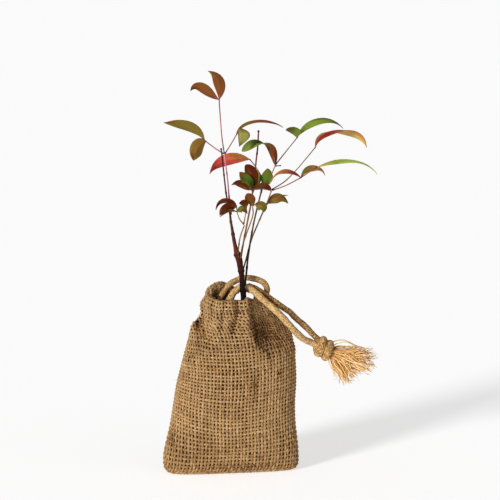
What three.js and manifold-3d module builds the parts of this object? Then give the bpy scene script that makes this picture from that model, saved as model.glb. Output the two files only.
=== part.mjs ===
// A nursery seedling with its root ball in a small burlap drawstring bag.
// Millimetres, +Z up. The origin is the middle of the bag's flat underside, and its broad front faces -Y.
import * as THREE from "three";
import { mergeVertices } from "three/addons/utils/BufferGeometryUtils.js";
import Module from "manifold-3d";

const wasm = await Module();
wasm.setup();

// ---------------------------------------------------------------- driving dimensions
const GAP = 0.3; // clearance between pieces that touch
const CLOTH = 1.5; // thickness of the burlap
const SOIL_TOP = 110; // height of the soil where the stems come out
const CORD = 5; // diameter of the twisted drawstring
const LEAF_THICK = 0.7; // a leaflet at its midrib
const LEAF_EDGE = 0.5; // a leaflet at its margin
const LEAF_KEEL = 0.22; // how far a leaflet's halves fold up, as a share of the half width
const LEAF_STEPS = 5;
const PETIOLE = 0.5; // radius of the thread-like leaf stalks
const STALK_SIDES = 3;
const LIMB_STEP = 8; // length of one straight piece of a stem

// The bag's level sections: height, left edge, right edge, half depth, squareness of the corners.
const BAG_SECTIONS = [
  [0, -45.5, 46.5, 11, 3.2],
  [2.8, -49.2, 49.6, 13.5, 3.2],
  [13.4, -49.9, 50.1, 17, 2.8],
  [23, -48, 49.3, 19, 2.6],
  [35.6, -45.1, 47.9, 20.5, 2.4],
  [50.5, -42.6, 47.5, 21, 2.3],
  [65.2, -40.2, 48.4, 21, 2.2],
  [80, -36.5, 48, 20.5, 2.2],
  [98, -32, 46, 19, 2.2],
  [105, -30.8, 44.6, 18, 2.1],
  [111.4, -29.4, 41.4, 17, 2.1],
  [118.7, -26.8, 35, 16, 2],
  [127.5, -25.2, 29.4, 15, 2],
  [133.9, -20.6, 27, 13.8, 2],
  [141, -16, 25, 12.5, 2],
];
// The height of the bag's rim round the mouth: angle from +X in degrees, height.
const RIM = [
  [0, 122],
  [30, 125],
  [60, 132],
  [90, 135],
  [120, 139.3],
  [150, 136.5],
  [180, 132],
  [205, 131],
  [230, 130],
  [255, 129.5],
  [290, 129.3],
  [305, 127],
  [330, 122.5],
  [360, 122],
];
// The gathers: angle, half width in degrees, depth, height at which the pleat starts.
const GATHERS = [
  [291, 5, 2.6, 92],
  [270, 8, 1.4, 102],
  [314, 14, 3.6, 78],
  [337, 6, 2.2, 95],
  [0, 7, 2.2, 95],
  [24, 7, 2.4, 90],
  [48, 7, 2.6, 95],
  [72, 7, 2.4, 90],
  [97, 7, 2.4, 95],
  [122, 8, 2.6, 90],
  [148, 8, 2.4, 95],
  [174, 8, 2.4, 88],
  [199, 7, 2.6, 92],
  [228, 9, 1, 105],
];
const GATHER_RISE = 34; // height over which a gather reaches its full depth
const LEVEL_UP_TO = 84; // the bag's rings are level up to here and follow the rim above it

// ---------------------------------------------------------------- solids
function vector(p) {
  return new THREE.Vector3(...p);
}

function toSolid(geometry) {
  const bare = new THREE.BufferGeometry();
  bare.setAttribute("position", geometry.getAttribute("position"));
  bare.setIndex(geometry.index);
  const merged = mergeVertices(bare, 1e-4);
  const index = merged.index.array;
  const triVerts = [];
  for (let i = 0; i < index.length; i += 3) {
    const [a, b, c] = index.slice(i, i + 3);
    if (a !== b && b !== c && c !== a) triVerts.push(a, b, c);
  }
  return new wasm.Manifold(
    new wasm.Mesh({
      numProp: 3,
      vertProperties: merged.attributes.position.array,
      triVerts: new Uint32Array(triVerts),
    }),
  );
}

function toGeometry(solid) {
  const mesh = solid.getMesh();
  const geometry = new THREE.BufferGeometry();
  geometry.setAttribute("position", new THREE.BufferAttribute(mesh.vertProperties, 3));
  geometry.setIndex(new THREE.BufferAttribute(mesh.triVerts, 1));
  geometry.computeVertexNormals();
  return geometry;
}

function join(solids) {
  return solids.reduce((whole, piece) => whole.add(piece));
}

function largest(solid) {
  return solid.decompose().sort((a, b) => b.volume() - a.volume())[0];
}

// Moves every vertex of a geometry by a rule.
function shape(geometry, rule) {
  const position = geometry.getAttribute("position");
  for (let i = 0; i < position.count; i++) {
    const p = rule(new THREE.Vector3().fromBufferAttribute(position, i), i);
    position.setXYZ(i, p.x, p.y, p.z);
  }
  return toSolid(geometry);
}

// A smooth value between the rows of a table that is sorted by its first column.
function between(table, at, column) {
  let i = table.findIndex((row) => row[0] > at);
  if (i < 0) i = table.length - 1;
  i = Math.max(i, 1);
  const [a, b] = [table[i - 1], table[i]];
  const before = table[Math.max(i - 2, 0)];
  const after = table[Math.min(i + 1, table.length - 1)];
  const span = b[0] - a[0];
  const t = THREE.MathUtils.clamp((at - a[0]) / span, 0, 1);
  const slopeA = ((b[column] - before[column]) / (b[0] - before[0])) * span;
  const slopeB = ((after[column] - a[column]) / (after[0] - a[0])) * span;
  const h = t * t * (3 - 2 * t);
  return (
    a[column] * (1 - h) +
    b[column] * h +
    slopeA * t * (1 - t) * (1 - t) -
    slopeB * t * t * (1 - t)
  );
}

// ---------------------------------------------------------------- the bag and the root ball
function gatherDepth(angle, z) {
  const degrees = THREE.MathUtils.radToDeg(angle);
  let depth = 0;
  for (const [at, width, deep, from] of GATHERS) {
    const off = THREE.MathUtils.euclideanModulo(degrees - at + 180, 360) - 180;
    const grown = THREE.MathUtils.smoothstep(z, from, from + GATHER_RISE);
    depth += deep * grown * Math.exp(-((off / width) ** 2));
  }
  return depth;
}

// A point of the bag's cloth at an angle and a height, so many millimetres inside its outer face.
function bagPoint(angle, z, inset, reach = 1) {
  const left = between(BAG_SECTIONS, z, 1);
  const right = between(BAG_SECTIONS, z, 2);
  const depth = between(BAG_SECTIONS, z, 3);
  const power = 2 / between(BAG_SECTIONS, z, 4);
  const [c, s] = [Math.cos(angle), Math.sin(angle)];
  const halfWidth = (right - left) / 2;
  const x = halfWidth * Math.sign(c) * Math.abs(c) ** power;
  const y = depth * Math.sign(s) * Math.abs(s) ** power;
  const normal = new THREE.Vector2(
    (Math.sign(c) * Math.abs(c) ** (2 - power)) / halfWidth,
    (Math.sign(s) * Math.abs(s) ** (2 - power)) / depth,
  ).normalize();
  const sink = inset + gatherDepth(angle, z);
  return new THREE.Vector3(
    (left + right) / 2 + (x - normal.x * sink) * reach,
    (y - normal.y * sink) * reach,
    z,
  );
}

// A closed solid turned from a list of [height, inset, reach] stations, bottom to top and back.
function turned(stations, heightAt) {
  const profile = stations.map(([z, , reach]) => new THREE.Vector2(reach, z));
  const lathe = new THREE.LatheGeometry(profile, COLUMNS);
  return shape(lathe, (p, i) => {
    const column = Math.floor(i / stations.length) % COLUMNS;
    const [z, inset, reach] = stations[i % stations.length];
    const angle = (column / COLUMNS) * 2 * Math.PI;
    return bagPoint(angle, heightAt(angle, z), inset, reach);
  });
}

const RIM_HEIGHT = 130; // the rim's nominal height in the stations below
const RINGS = [10, 24, 48, 68, 84, 100]; // shared by the cloth's two faces and the soil
const COLUMNS = 56;
function followRim(angle, z) {
  const rim = between(RIM, THREE.MathUtils.radToDeg(angle), 1);
  const share = (z - LEVEL_UP_TO) / (RIM_HEIGHT - LEVEL_UP_TO);
  return z <= LEVEL_UP_TO ? z : LEVEL_UP_TO + share * (rim - LEVEL_UP_TO);
}

function bagSolid() {
  const stations = [
    [0, 0, 0],
    ...[0, 2.8, ...RINGS, 109, 119, RIM_HEIGHT].map((z) => [z, 0, 1]),
    ...[RIM_HEIGHT, 116, ...RINGS.toReversed(), CLOTH].map((z) => [z, CLOTH, 1]),
    [CLOTH, CLOTH, 0],
  ];
  return turned(stations, followRim);
}

function rootBallSolid() {
  const play = CLOTH + 2 * GAP;
  const low = CLOTH + GAP;
  const stations = [
    [low, play, 0],
    [low, play + 1, 1],
    ...RINGS.map((z) => [z, play, 1]),
    [SOIL_TOP, play, 0.72],
    [SOIL_TOP, play, 0],
  ];
  return turned(stations, (angle, z) => (z < SOIL_TOP ? followRim(angle, z) : z));
}

// The gap under the back hem where the drawstring has pulled the cloth up.
const SLOT = { x: 10.5, y: 14, z: 127.2, width: 14, depth: 14, height: 5 };
function slotSolid() {
  const box = new THREE.BoxGeometry(SLOT.width, SLOT.depth, SLOT.height);
  box.translate(SLOT.x, SLOT.y, SLOT.z);
  return toSolid(box);
}

// ---------------------------------------------------------------- stems, twigs and leaflets
// A tapering limb along a smooth path. radii are spread evenly over its length.
function limb(points, radii, sides = 6, grown = 0) {
  const path = new THREE.CatmullRomCurve3(points.map(vector), false, "centripetal");
  const steps = Math.max(2, Math.round(path.getLength() / LIMB_STEP));
  const rod = new THREE.CylinderGeometry(1, 1, 1, sides, steps);
  return shape(rod, (p) => {
    const t = p.y + 0.5;
    const along = path.getTangentAt(t);
    const side = new THREE.Vector3(0, 1, 0).cross(along).normalize();
    const front = along.clone().cross(side);
    const place = t * (radii.length - 1);
    const i = Math.min(Math.floor(place), radii.length - 2);
    const radius = THREE.MathUtils.lerp(radii[i], radii[i + 1], place - i) + grown;
    return path
      .getPointAt(t)
      .addScaledVector(side, -p.x * radius)
      .addScaledVector(front, p.z * radius);
  });
}

function knob(at, radius, grown = 0) {
  const ball = new THREE.SphereGeometry(radius + grown, 7, 5);
  ball.translate(...at);
  return toSolid(ball);
}

// A leaflet's rib: from base to tip, rising above the straight line between them.
function rib({ base, tip, along = [0.28, 0.74], rise }) {
  const [from, to] = [vector(base), vector(tip)];
  const chord = to.clone().sub(from);
  const up = new THREE.Vector3(-chord.z, 0, chord.x).normalize();
  if (up.z < 0) up.negate();
  const handle = (i) =>
    from.clone().addScaledVector(chord, along[i]).addScaledVector(up, rise[i]);
  return new THREE.CubicBezierCurve3(from, handle(0), handle(1), to);
}

// A leaflet's half width as a share of its widest: a lance shape with a drawn-out tip.
function outline(t) {
  return Math.sin(Math.PI * t ** 0.8) ** 0.9;
}

// A thin blade with a keel along its rib. roll turns it about the rib, from base to tip.
function leaflet(leaf, grown = 0) {
  const path = rib(leaf);
  const slab = new THREE.BoxGeometry(2, 1, 1, 2, LEAF_STEPS, 1);
  const blade = shape(slab, (p) => {
    const t = p.y + 0.5;
    const ahead = path.getTangent(t);
    const depth = new THREE.Vector3(0, 1, 0);
    depth.addScaledVector(ahead, -depth.dot(ahead)).normalize();
    const across = ahead.clone().cross(depth);
    const roll = THREE.MathUtils.degToRad(THREE.MathUtils.lerp(...leaf.roll, t));
    const side = across.clone().multiplyScalar(Math.cos(roll));
    side.addScaledVector(depth, Math.sin(roll));
    const face = side.clone().cross(ahead);
    const half = Math.max((leaf.wide / 2) * outline(t), 0.3) + grown;
    const thick = THREE.MathUtils.lerp(LEAF_THICK, LEAF_EDGE, Math.abs(p.x)) + 2 * grown;
    return path
      .getPoint(t)
      .addScaledVector(side, p.x * half)
      .addScaledVector(face, Math.abs(p.x) * half * LEAF_KEEL + p.z * thick);
  });
  const stalk = [0, 0.2, 0.4].map((t) => path.getPoint(t).toArray());
  return blade.add(limb(stalk, [PETIOLE, PETIOLE * 0.8], STALK_SIDES, grown));
}

// ---------------------------------------------------------------- the plant's measures
// Woody stems and boughs: the path from the foot up, and the radii along it.
const SOIL = SOIL_TOP + GAP;
const STEMS = {
  main_stem: {
    path: [
      [9.3, 0.2, SOIL], [9.2, 0.1, 118], [8.8, -0.3, 132], [7.5, -1, 147.4], [6.3, -1.5, 155],
      [4.3, -2, 161.5], [2.8, -2, 167.4], [1.3, -2, 176.1], [-0.1, -2, 184.9], [-0.9, -2, 191.4],
    ],
    radii: [3.4, 1.9, 1.7, 1.8, 1.9, 2.4, 1.5, 1.2, 1.05, 0.85, 0.7],
    sides: 8,
  },
  side_stem: {
    path: [
      [13, 4.6, SOIL], [11.7, 3.4, 122], [10.8, 2.4, 136], [11.8, 2.2, 146.2], [12.9, 2, 157.1],
      [16.1, 3, 176.7], [20.1, 3, 194.8], [23.3, 3, 207.1],
    ],
    radii: [0.95, 0.8, 0.7, 0.65, 0.6, 0.6],
  },
  cut_stem_left: {
    path: [[-1, -2, 191.9], [-3.1, -3, 201.7], [-4.8, -4, 214], [-6.2, -5, 227], [-7.6, -6, 237.9]],
    radii: [0.65, 0.55, 0.5],
    knob: 0.85,
  },
  cut_stem_tall: {
    path: [
      [7.2, -0.4, 156], [9.7, 1, 169.8], [13.2, 1, 187.9], [15.2, 1, 198.8], [17.7, 2, 217.4],
      [19.3, 4, 228.8], [20.6, 6, 238], [21.6, 9, 249.3],
    ],
    radii: [0.6, 0.65, 0.6, 0.55],
    knob: 0.9,
  },
  right_stem: {
    path: [
      [8.2, 0.3, 144.5], [9.6, 3.4, 148.5], [11.9, 5.5, 155.2], [16, 6.5, 169.6], [21.8, 5, 184.4],
      [27.4, 3, 198], [29.9, 2, 205.7],
    ],
    radii: [0.6, 0.55, 0.5],
  },
  top_stem: {
    path: [[0.4, -0.8, 189.3], [-0.9, -0.5, 199.9], [-2.1, 0.5, 214.3], [-4.1, 2, 232]],
    radii: [0.55, 0.5, 0.45],
  },
  inner_stem_left: {
    path: [[5, -3.8, 158.6], [5.1, -5, 165.6], [6.2, -6, 173.7], [8.9, -8, 182.4]],
    radii: [0.5, 0.45],
  },
  inner_stem_right: {
    path: [
      [6.6, -3.4, 157.6], [7.8, -4.5, 166.2], [10.3, -5, 174.2], [15.4, -6.5, 190.2], [15, -7, 195.2],
    ],
    radii: [0.5, 0.45],
  },
  upper_right_stem: {
    path: [[23.6, 3, 208], [26.2, 3, 211], [29.1, 2, 215.8], [32.3, 0, 224]],
    radii: [0.5, 0.4],
  },
};

// Sprays of leaflets: the stalks, each from where it leaves its stem, and the leaflets on them.
const SPRAYS = {
  leaves_top: {
    stalks: [[[-4.2, 2.1, 232.9], [-5.6, 4, 244.2], [-6.4, 6, 257], [-7.2, 8, 271.8]]],
    leaves: [
      { base: [-7.2, 8, 271.4], tip: [-26.9, 16, 277.4], along: [0.25, 0.93], rise: [0.7, 9.4],
        wide: 8.5, roll: [35, 35] },
      { base: [-7.2, 8, 271.4], tip: [-16.2, -1, 292.3], rise: [4.2, 7.1], wide: 8.5, roll: [25, 25] },
    ],
  },
  leaves_left: {
    stalks: [[[-4.8, 2.8, 233.1], [-10.5, 6, 236.8], [-17.6, 10, 242.3]]],
    leaves: [
      { base: [-17.4, 10, 242.1], tip: [-46.6, 15, 254.9], rise: [10.5, 5.2], wide: 7.5, roll: [30, 30] },
      { base: [-16.6, 9.5, 241.7], tip: [-27.1, -4, 229], rise: [3.8, 2.4], wide: 10, roll: [10, 15] },
    ],
  },
  leaves_middle: {
    stalks: [[[-3.8, 1.2, 233.2], [0, -3, 240.4], [4.8, -9.2, 250.4]]],
    leaves: [
      { base: [3.1, -7.4, 247], tip: [37.4, -4, 251.9], along: [0.14, 0.77], rise: [12.7, 8.8],
        wide: 7, roll: [75, 80] },
      { base: [4.6, -9, 250.2], tip: [1.5, -20, 240.2], rise: [0, 0], wide: 9.5, roll: [0, 10] },
    ],
  },
  leaf_red: {
    stalks: [[[23.2, 4.2, 207.6], [23.7, 7, 214.7], [20.5, 10, 221.4], [15.6, 13, 228.1]]],
    leaves: [
      { base: [16.2, 12.8, 227.7], tip: [-13.9, 11, 217.7], rise: [5.3, 8.7],
        wide: 9.5, roll: [20, 15] },
    ],
  },
  leaf_twisted: {
    stalks: [[[32.3, 0, 224], [36.5, -1, 224.3]]],
    leaves: [
      { base: [32.3, 0, 224.4], tip: [7.6, -5, 235.1], along: [0.25, 0.83], rise: [11.5, 15.7],
        wide: 8, roll: [0, 185] },
    ],
  },
  leaves_green: {
    stalks: [[[32.9, 0.6, 225], [41.1, 5, 233.9], [50.7, 11, 244]]],
    leaves: [
      { base: [50.4, 10.9, 243.7], tip: [86.2, 22, 248.9], along: [0.24, 0.79], rise: [11.3, 13],
        wide: 7.5, roll: [40, 75] },
      { base: [50.5, 11, 243.8], tip: [40.2, 2, 247.8], along: [0.23, 0.95], rise: [2.1, 8.3],
        wide: 6.5, roll: [35, 70] },
    ],
  },
  leaf_salmon: {
    stalks: [
      [[30.3, 2.5, 206.6], [40.7, 7, 212.1], [50.4, 12, 220.3], [57.5, 15, 227.7], [65.1, 18, 235.8]],
    ],
    leaves: [
      { base: [65, 18, 235.4], tip: [104.3, 24, 234.5], along: [-0.01, 0.91], rise: [17.2, 14.6],
        wide: 8, roll: [50, 160] },
    ],
  },
  leaves_right: {
    stalks: [
      [[30.4, 1, 206.2], [39.1, -3, 209.8], [49.8, -9, 216.2]],
      [[49.4, -8.8, 216], [55, -12, 220.2], [60.5, -14.6, 224.2]],
    ],
    leaves: [
      { base: [49.7, -9, 216.1], tip: [68.3, -3, 216.9], along: [0.13, 0.87], rise: [7.9, 10],
        wide: 6.5, roll: [60, 55] },
      { base: [59.7, -14.2, 223.6], tip: [101.9, -25, 219.6], rise: [7.6, 13.1], wide: 7, roll: [72, 76] },
      { base: [49.8, -9, 216.2], tip: [25.6, -18, 212.5], rise: [7.4, 11.6], wide: 7, roll: [55, 70] },
    ],
  },
  leaf_dark: {
    stalks: [[[29.6, 0.8, 205.9], [27.2, -1.2, 207.6]]],
    leaves: [{ base: [29.2, 0.4, 206.2], tip: [13.7, -8, 207.7], rise: [3, 3.9], wide: 7, roll: [58, 58] }],
  },
  leaf_bright: {
    stalks: [[[22.4, 2.4, 206], [23.8, 2.4, 209.4]]],
    leaves: [
      { base: [23.2, 2.6, 207.8], tip: [25.8, -2, 223.1], along: [0.5, 0.5], rise: [-1.7, -1.7],
        wide: 8.5, roll: [10, 15] },
    ],
  },
  leaves_centre: {
    stalks: [
      [[16, 0.2, 205.6], [14.6, -2.6, 207.6]],
    ],
    leaves: [
      { base: [14.9, -2.2, 207.1], tip: [9.2, -9, 225.6], rise: [3.2, 4.5], wide: 9, roll: [10, 10] },
      { base: [14.9, -2.2, 207.1], tip: [4.9, -12, 221.1], rise: [1.7, 0.9], wide: 8, roll: [15, 20] },
      { base: [14.9, -2.2, 207.1], tip: [-0.1, -6, 211.1], rise: [0.1, 5.4], wide: 7.5, roll: [35, 40] },
    ],
  },
  leaf_behind: {
    stalks: [[[16.2, 1, 204.4], [18.8, 6.2, 208.2]]],
    leaves: [
      { base: [18.2, 5.4, 207.4], tip: [19.7, 11, 220.9], along: [0.5, 0.5], rise: [-2.4, -2],
        wide: 6.5, roll: [50, 50] },
    ],
  },
  leaves_low_left: {
    stalks: [
      [[8.6, -8, 182.9], [5.4, -8, 186.9], [3.9, -7, 191.9], [3.2, -7, 196.9]],
      [[8.5, -7.9, 183.2], [9.6, -9, 190.6], [10.3, -9, 195.9]],
    ],
    leaves: [
      { base: [3.2, -7, 196.6], tip: [-10, -6, 193.3], rise: [4.3, 6.1], wide: 8, roll: [50, 50] },
      { base: [3.2, -7, 196.6], tip: [-10.5, -14, 191.5], rise: [3.6, 4.6], wide: 9, roll: [15, 20] },
      { base: [3.8, -7, 192], tip: [-9.1, -9, 188.8], along: [0.4, 0.5], rise: [2.8, 1.8],
        wide: 7, roll: [68, 68] },
      { base: [3.8, -7, 192], tip: [10.2, -14, 191.3], along: [0.4, 0.6], rise: [3.9, 4],
        wide: 5.5, roll: [35, 40] },
      { base: [10.3, -9, 195.7], tip: [4.4, -13, 198.7], along: [0.4, 0.6], rise: [2.1, 2.3],
        wide: 6, roll: [30, 30] },
    ],
  },
  leaves_low_centre: {
    stalks: [[[14.8, -7.2, 195.8], [16.6, -7.6, 197.2], [18.4, -8.2, 197.4]]],
    leaves: [
      { base: [15.1, -7.3, 196], tip: [10.3, -12, 205.7], along: [0.4, 0.6], rise: [0.4, 0.4],
        wide: 7.5, roll: [20, 20] },
      { base: [16.6, -7.6, 197.2], tip: [21.8, -12, 191.8], along: [0.4, 0.8], rise: [3, 4],
        wide: 7.5, roll: [15, 20] },
    ],
  },
  leaves_low_right: {
    stalks: [[[26.8, 3.4, 195.6], [28, 3, 197.4], [30.5, 4, 198.6]]],
    leaves: [
      { base: [27.4, 3.2, 196.4], tip: [41.5, -2, 196.9], rise: [5, 6.6], wide: 8, roll: [40, 40] },
      { base: [29, 3.6, 198], tip: [43.6, 11, 201.4], along: [0.44, 0.6], rise: [1.6, 2.2],
        wide: 5, roll: [70, 75] },
    ],
  },
};

// ---------------------------------------------------------------- the drawstring
// Routes of the drawstring's three lengths that show: the arch round the neck and the two pulls.
const NECK_CORD = [
  [-5.6, 8.4, 129], [-0.1, 9.5, 135], [5.1, 10, 139.4], [10.2, 10.4, 140.3], [14.6, 10.6, 140.5],
  [18.9, 10.6, 140.8], [22.7, 10.5, 139.5], [25.9, 10.3, 137], [27.6, 10, 134], [27.9, 9.8, 131],
  [27.2, 9.4, 127.5],
];
const FRONT_PULL = [
  [-1.4, 3.4, 127.5], [1.2, 4, 129.9], [5.7, 4.4, 133.6], [10.7, 4.2, 135], [15.4, 2, 134.6],
  [19.8, -2, 131.8], [23.7, -7.2, 127.9], [28.2, -11.6, 123.4], [34.4, -13.9, 117.2], [40.4, -13.2, 110.3],
  [45.5, -10.6, 104.3], [50.8, -7, 98.9], [56.4, -4.6, 95.8], [62.2, -3.3, 93],
];
const BACK_PULL = [
  [16.2, 4.8, 140.2], [21, 4.8, 136.6], [26.7, 4.2, 132], [34.6, 2.4, 125.4], [42.4, 0.8, 118.5],
  [49.4, -0.6, 112.2], [55.1, -1.6, 106.4], [59.8, -2.4, 101.7], [63, -2.8, 98.4],
];
const KNOT = { at: [68.8, -3, 89.4], width: 12.3, depth: 10.5, height: 18.7, tilt: -24 };
const TASSEL = {
  root: [73.6, -3, 85.6],
  short: 21,
  long: 37,
  longest: 0.28, // how far round the fan the longest bunch lies
  from: 15,
  to: -74,
  bunches: 8,
  thick: 2.4,
  end: 1.2,
  sides: 5,
};

// A round cord along its route.
function cord(points, diameter, grown = 0) {
  const sides = 10;
  const section = new THREE.Shape();
  for (let i = 0; i < sides; i++) {
    const a = (i / sides) * 2 * Math.PI;
    const r = diameter / 2 + grown;
    section[i ? "lineTo" : "moveTo"](r * Math.cos(a), r * Math.sin(a));
  }
  const path = new THREE.CatmullRomCurve3(points.map(vector), false, "centripetal");
  const steps = Math.round(path.getLength() / (1.3 * CORD));
  return toSolid(
    new THREE.ExtrudeGeometry(section, { steps, extrudePath: path, bevelEnabled: false }),
  );
}

// An overhand knot's lump: a core with two turns of cord lying round it.
function knotSolid(grown = 0) {
  const tilt = THREE.MathUtils.degToRad(KNOT.tilt);
  const core = new THREE.SphereGeometry(0.5, 10, 7);
  const sizes = [KNOT.width * 0.92, KNOT.depth * 0.9, KNOT.height * 0.94];
  core.scale(...sizes.map((size) => size + 2 * grown));
  const turns = [-0.22, 0.2].map((share) => {
    const wrap = new THREE.TorusGeometry(KNOT.width * 0.3, CORD * 0.42 + grown, 6, 11);
    wrap.rotateX(share);
    wrap.translate(0, 0, share * KNOT.height);
    return wrap;
  });
  const pieces = [core, ...turns].map((piece) => {
    piece.rotateY(tilt);
    piece.translate(...KNOT.at);
    return toSolid(piece);
  });
  return join(pieces);
}

// The frayed end: bunches of fibre that fan out from the knot.
function tasselSolid(grown = 0) {
  const bunches = [];
  for (let i = 0; i < TASSEL.bunches; i++) {
    const share = i / (TASSEL.bunches - 1);
    const heading = THREE.MathUtils.degToRad(THREE.MathUtils.lerp(TASSEL.from, TASSEL.to, share));
    const lean = 6 * Math.sin(2.4 * i);
    const peak = Math.exp(-(((share - TASSEL.longest) / TASSEL.longest) ** 2));
    const reach = THREE.MathUtils.lerp(TASSEL.short, TASSEL.long, peak);
    const out = (t, drop) => [
      TASSEL.root[0] + t * reach * Math.cos(heading),
      TASSEL.root[1] + t * lean,
      TASSEL.root[2] + t * reach * Math.sin(heading) - drop,
    ];
    const radii = [TASSEL.thick, TASSEL.thick, TASSEL.end];
    bunches.push(limb([out(0, 0), out(0.5, -1.2), out(1, 1.4)], radii, TASSEL.sides, grown));
  }
  return join(bunches);
}

// ---------------------------------------------------------------- putting it together
const COLOURS = {
  burlap: new THREE.MeshStandardMaterial({ color: 0xb08d5e, roughness: 0.95, metalness: 0 }),
  soil: new THREE.MeshStandardMaterial({ color: 0x2f2219, roughness: 1, metalness: 0 }),
  bark: new THREE.MeshStandardMaterial({ color: 0x3a201a, roughness: 0.8, metalness: 0 }),
  twig: new THREE.MeshStandardMaterial({ color: 0x7a5448, roughness: 0.7, metalness: 0 }),
  leaf: new THREE.MeshStandardMaterial({ color: 0x76702f, roughness: 0.55, metalness: 0 }),
  jute: new THREE.MeshStandardMaterial({ color: 0xb5894f, roughness: 0.95, metalness: 0 }),
  fray: new THREE.MeshStandardMaterial({ color: 0xd09a62, roughness: 0.95, metalness: 0 }),
};

const seedling = new THREE.Group();
const placed = []; // each solid so far, grown by the gap

// Adds a node, cut clear of what is there already.
function place(name, material, make) {
  let solid = make(0);
  const grown = make(GAP);
  for (const other of placed) {
    const cut = solid.subtract(other);
    if (cut.volume() < solid.volume() - 1e-6) solid = largest(cut);
  }
  placed.push(grown);
  const mesh = new THREE.Mesh(toGeometry(solid), material);
  mesh.name = name;
  seedling.add(mesh);
}

place("neck_cord", COLOURS.jute, (grown) => cord(NECK_CORD, CORD * 0.94, grown));
place("pull_cord_front", COLOURS.jute, (grown) => cord(FRONT_PULL, CORD, grown));
place("pull_cord_back", COLOURS.jute, (grown) => cord(BACK_PULL, CORD * 0.9, grown));
place("cord_knot", COLOURS.jute, knotSolid);
place("cord_tassel", COLOURS.fray, tasselSolid);
for (const [name, { path, radii, sides = 6, knob: end }] of Object.entries(STEMS)) {
  place(name, COLOURS.bark, (grown) => {
    const stem = limb(path, radii, sides, grown);
    return end ? stem.add(knob(path.at(-1), end, grown)) : stem;
  });
}
for (const [name, { stalks, leaves }] of Object.entries(SPRAYS)) {
  place(name, COLOURS.leaf, (grown) =>
    join([
      ...stalks.map((points) => limb(points, [PETIOLE, PETIOLE * 0.85], STALK_SIDES, grown)),
      ...leaves.map((leaf) => leaflet(leaf, grown)),
    ]),
  );
}
place("root_ball", COLOURS.soil, rootBallSolid);
place("burlap_bag", COLOURS.burlap, () => bagSolid().subtract(slotSolid()));

export default seedling;
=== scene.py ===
import math

import bmesh
import bpy
import numpy as np
from mathutils import Matrix, Vector


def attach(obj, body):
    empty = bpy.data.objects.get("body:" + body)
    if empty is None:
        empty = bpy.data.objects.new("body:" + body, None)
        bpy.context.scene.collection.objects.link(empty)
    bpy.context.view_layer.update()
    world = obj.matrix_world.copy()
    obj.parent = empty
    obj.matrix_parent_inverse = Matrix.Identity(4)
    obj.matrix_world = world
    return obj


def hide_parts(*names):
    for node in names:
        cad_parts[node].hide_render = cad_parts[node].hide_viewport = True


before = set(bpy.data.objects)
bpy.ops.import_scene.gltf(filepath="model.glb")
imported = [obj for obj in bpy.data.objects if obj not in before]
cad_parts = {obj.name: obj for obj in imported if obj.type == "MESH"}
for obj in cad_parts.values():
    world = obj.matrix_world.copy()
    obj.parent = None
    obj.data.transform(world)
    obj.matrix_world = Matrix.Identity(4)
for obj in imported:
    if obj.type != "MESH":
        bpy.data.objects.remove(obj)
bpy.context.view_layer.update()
MM = 0.001

# ---- Camera
# A long lens a little above the bag's mouth, square to its broad front but for eight degrees, so
# that the bag's sides run nearly parallel and its bottom edge lies level.
AZIMUTH, ELEVATION = math.radians(-8), math.radians(8)
CAMERA_FAR = 1.3
LOOK_AT = Vector((0.01697, 0.02037, 0.16035))
SENSOR_WIDE, FOCAL_LENGTH = 36, 127.35


def put_down(name, data):
    """Adds an object to the scene."""
    thing = bpy.data.objects.new(name, data)
    bpy.context.scene.collection.objects.link(thing)
    return thing


level = math.cos(ELEVATION)
towards = Vector((math.sin(AZIMUTH) * level, -math.cos(AZIMUTH) * level, math.sin(ELEVATION)))
rightwards = Vector((math.cos(AZIMUTH), math.sin(AZIMUTH), 0))
lens = bpy.data.cameras.new("studio_camera")
lens.sensor_width, lens.lens = SENSOR_WIDE, FOCAL_LENGTH
camera = put_down("studio_camera", lens)
camera.matrix_world = Matrix.Translation(LOOK_AT + towards * CAMERA_FAR) @ Matrix(
    (rightwards, towards.cross(rightwards), towards)
).transposed().to_4x4()
bpy.context.scene.camera = camera


# ---- Drawstring
# One soft jute cord threaded through the bag's hem: an arch of it shows round the neck, and its two
# ends hang over the front hem to a shared overhand knot, past which the jute is combed out.
def distances(line):
    """How far along a line each of its points lies."""
    return np.r_[0, np.cumsum(np.linalg.norm(np.diff(line, axis=0), axis=1))]


def smooth_line(points, step):
    """A smooth line through the points, with a point about every step."""
    p = np.array(points, float)
    p = np.vstack([2 * p[0] - p[1], p, 2 * p[-1] - p[-2]])
    fine = []
    for q in zip(p, p[1:], p[2:], p[3:]):
        reach = [max(np.linalg.norm(b - a), 1e-9) ** 0.5 for a, b in zip(q, q[1:])]
        k = np.cumsum([0, *reach])
        t = np.linspace(k[1], k[2], 16, endpoint=False)[:, None]
        one = [((k[i + 1] - t) * q[i] + (t - k[i]) * q[i + 1]) / (k[i + 1] - k[i]) for i in (0, 1, 2)]
        two = [((k[i + 2] - t) * one[i] + (t - k[i]) * one[i + 1]) / (k[i + 2] - k[i]) for i in (0, 1)]
        fine.append(((k[2] - t) * two[0] + (t - k[1]) * two[1]) / (k[2] - k[1]))
    fine = np.vstack([*fine, p[-2]])
    far = distances(fine)
    at = np.linspace(0, far[-1], max(2, round(far[-1] / step)) + 1)
    return np.column_stack([np.interp(at, far, fine[:, i]) for i in range(3)])


def unit(vectors):
    """The vectors at length one."""
    return vectors / np.maximum(np.linalg.norm(vectors, axis=-1, keepdims=True), 1e-12)


def sides_of(line, first=(0.0, 1.0, 0.0)):
    """Two directions square to a line at each of its points, carried along it without twist."""
    ahead = unit(np.gradient(line, axis=0))
    side = np.empty_like(line)
    carried = np.array(first, float)
    for i, a in enumerate(ahead):
        carried = unit(carried - a * (carried @ a))
        side[i] = carried
    return side, np.cross(ahead, side)


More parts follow.
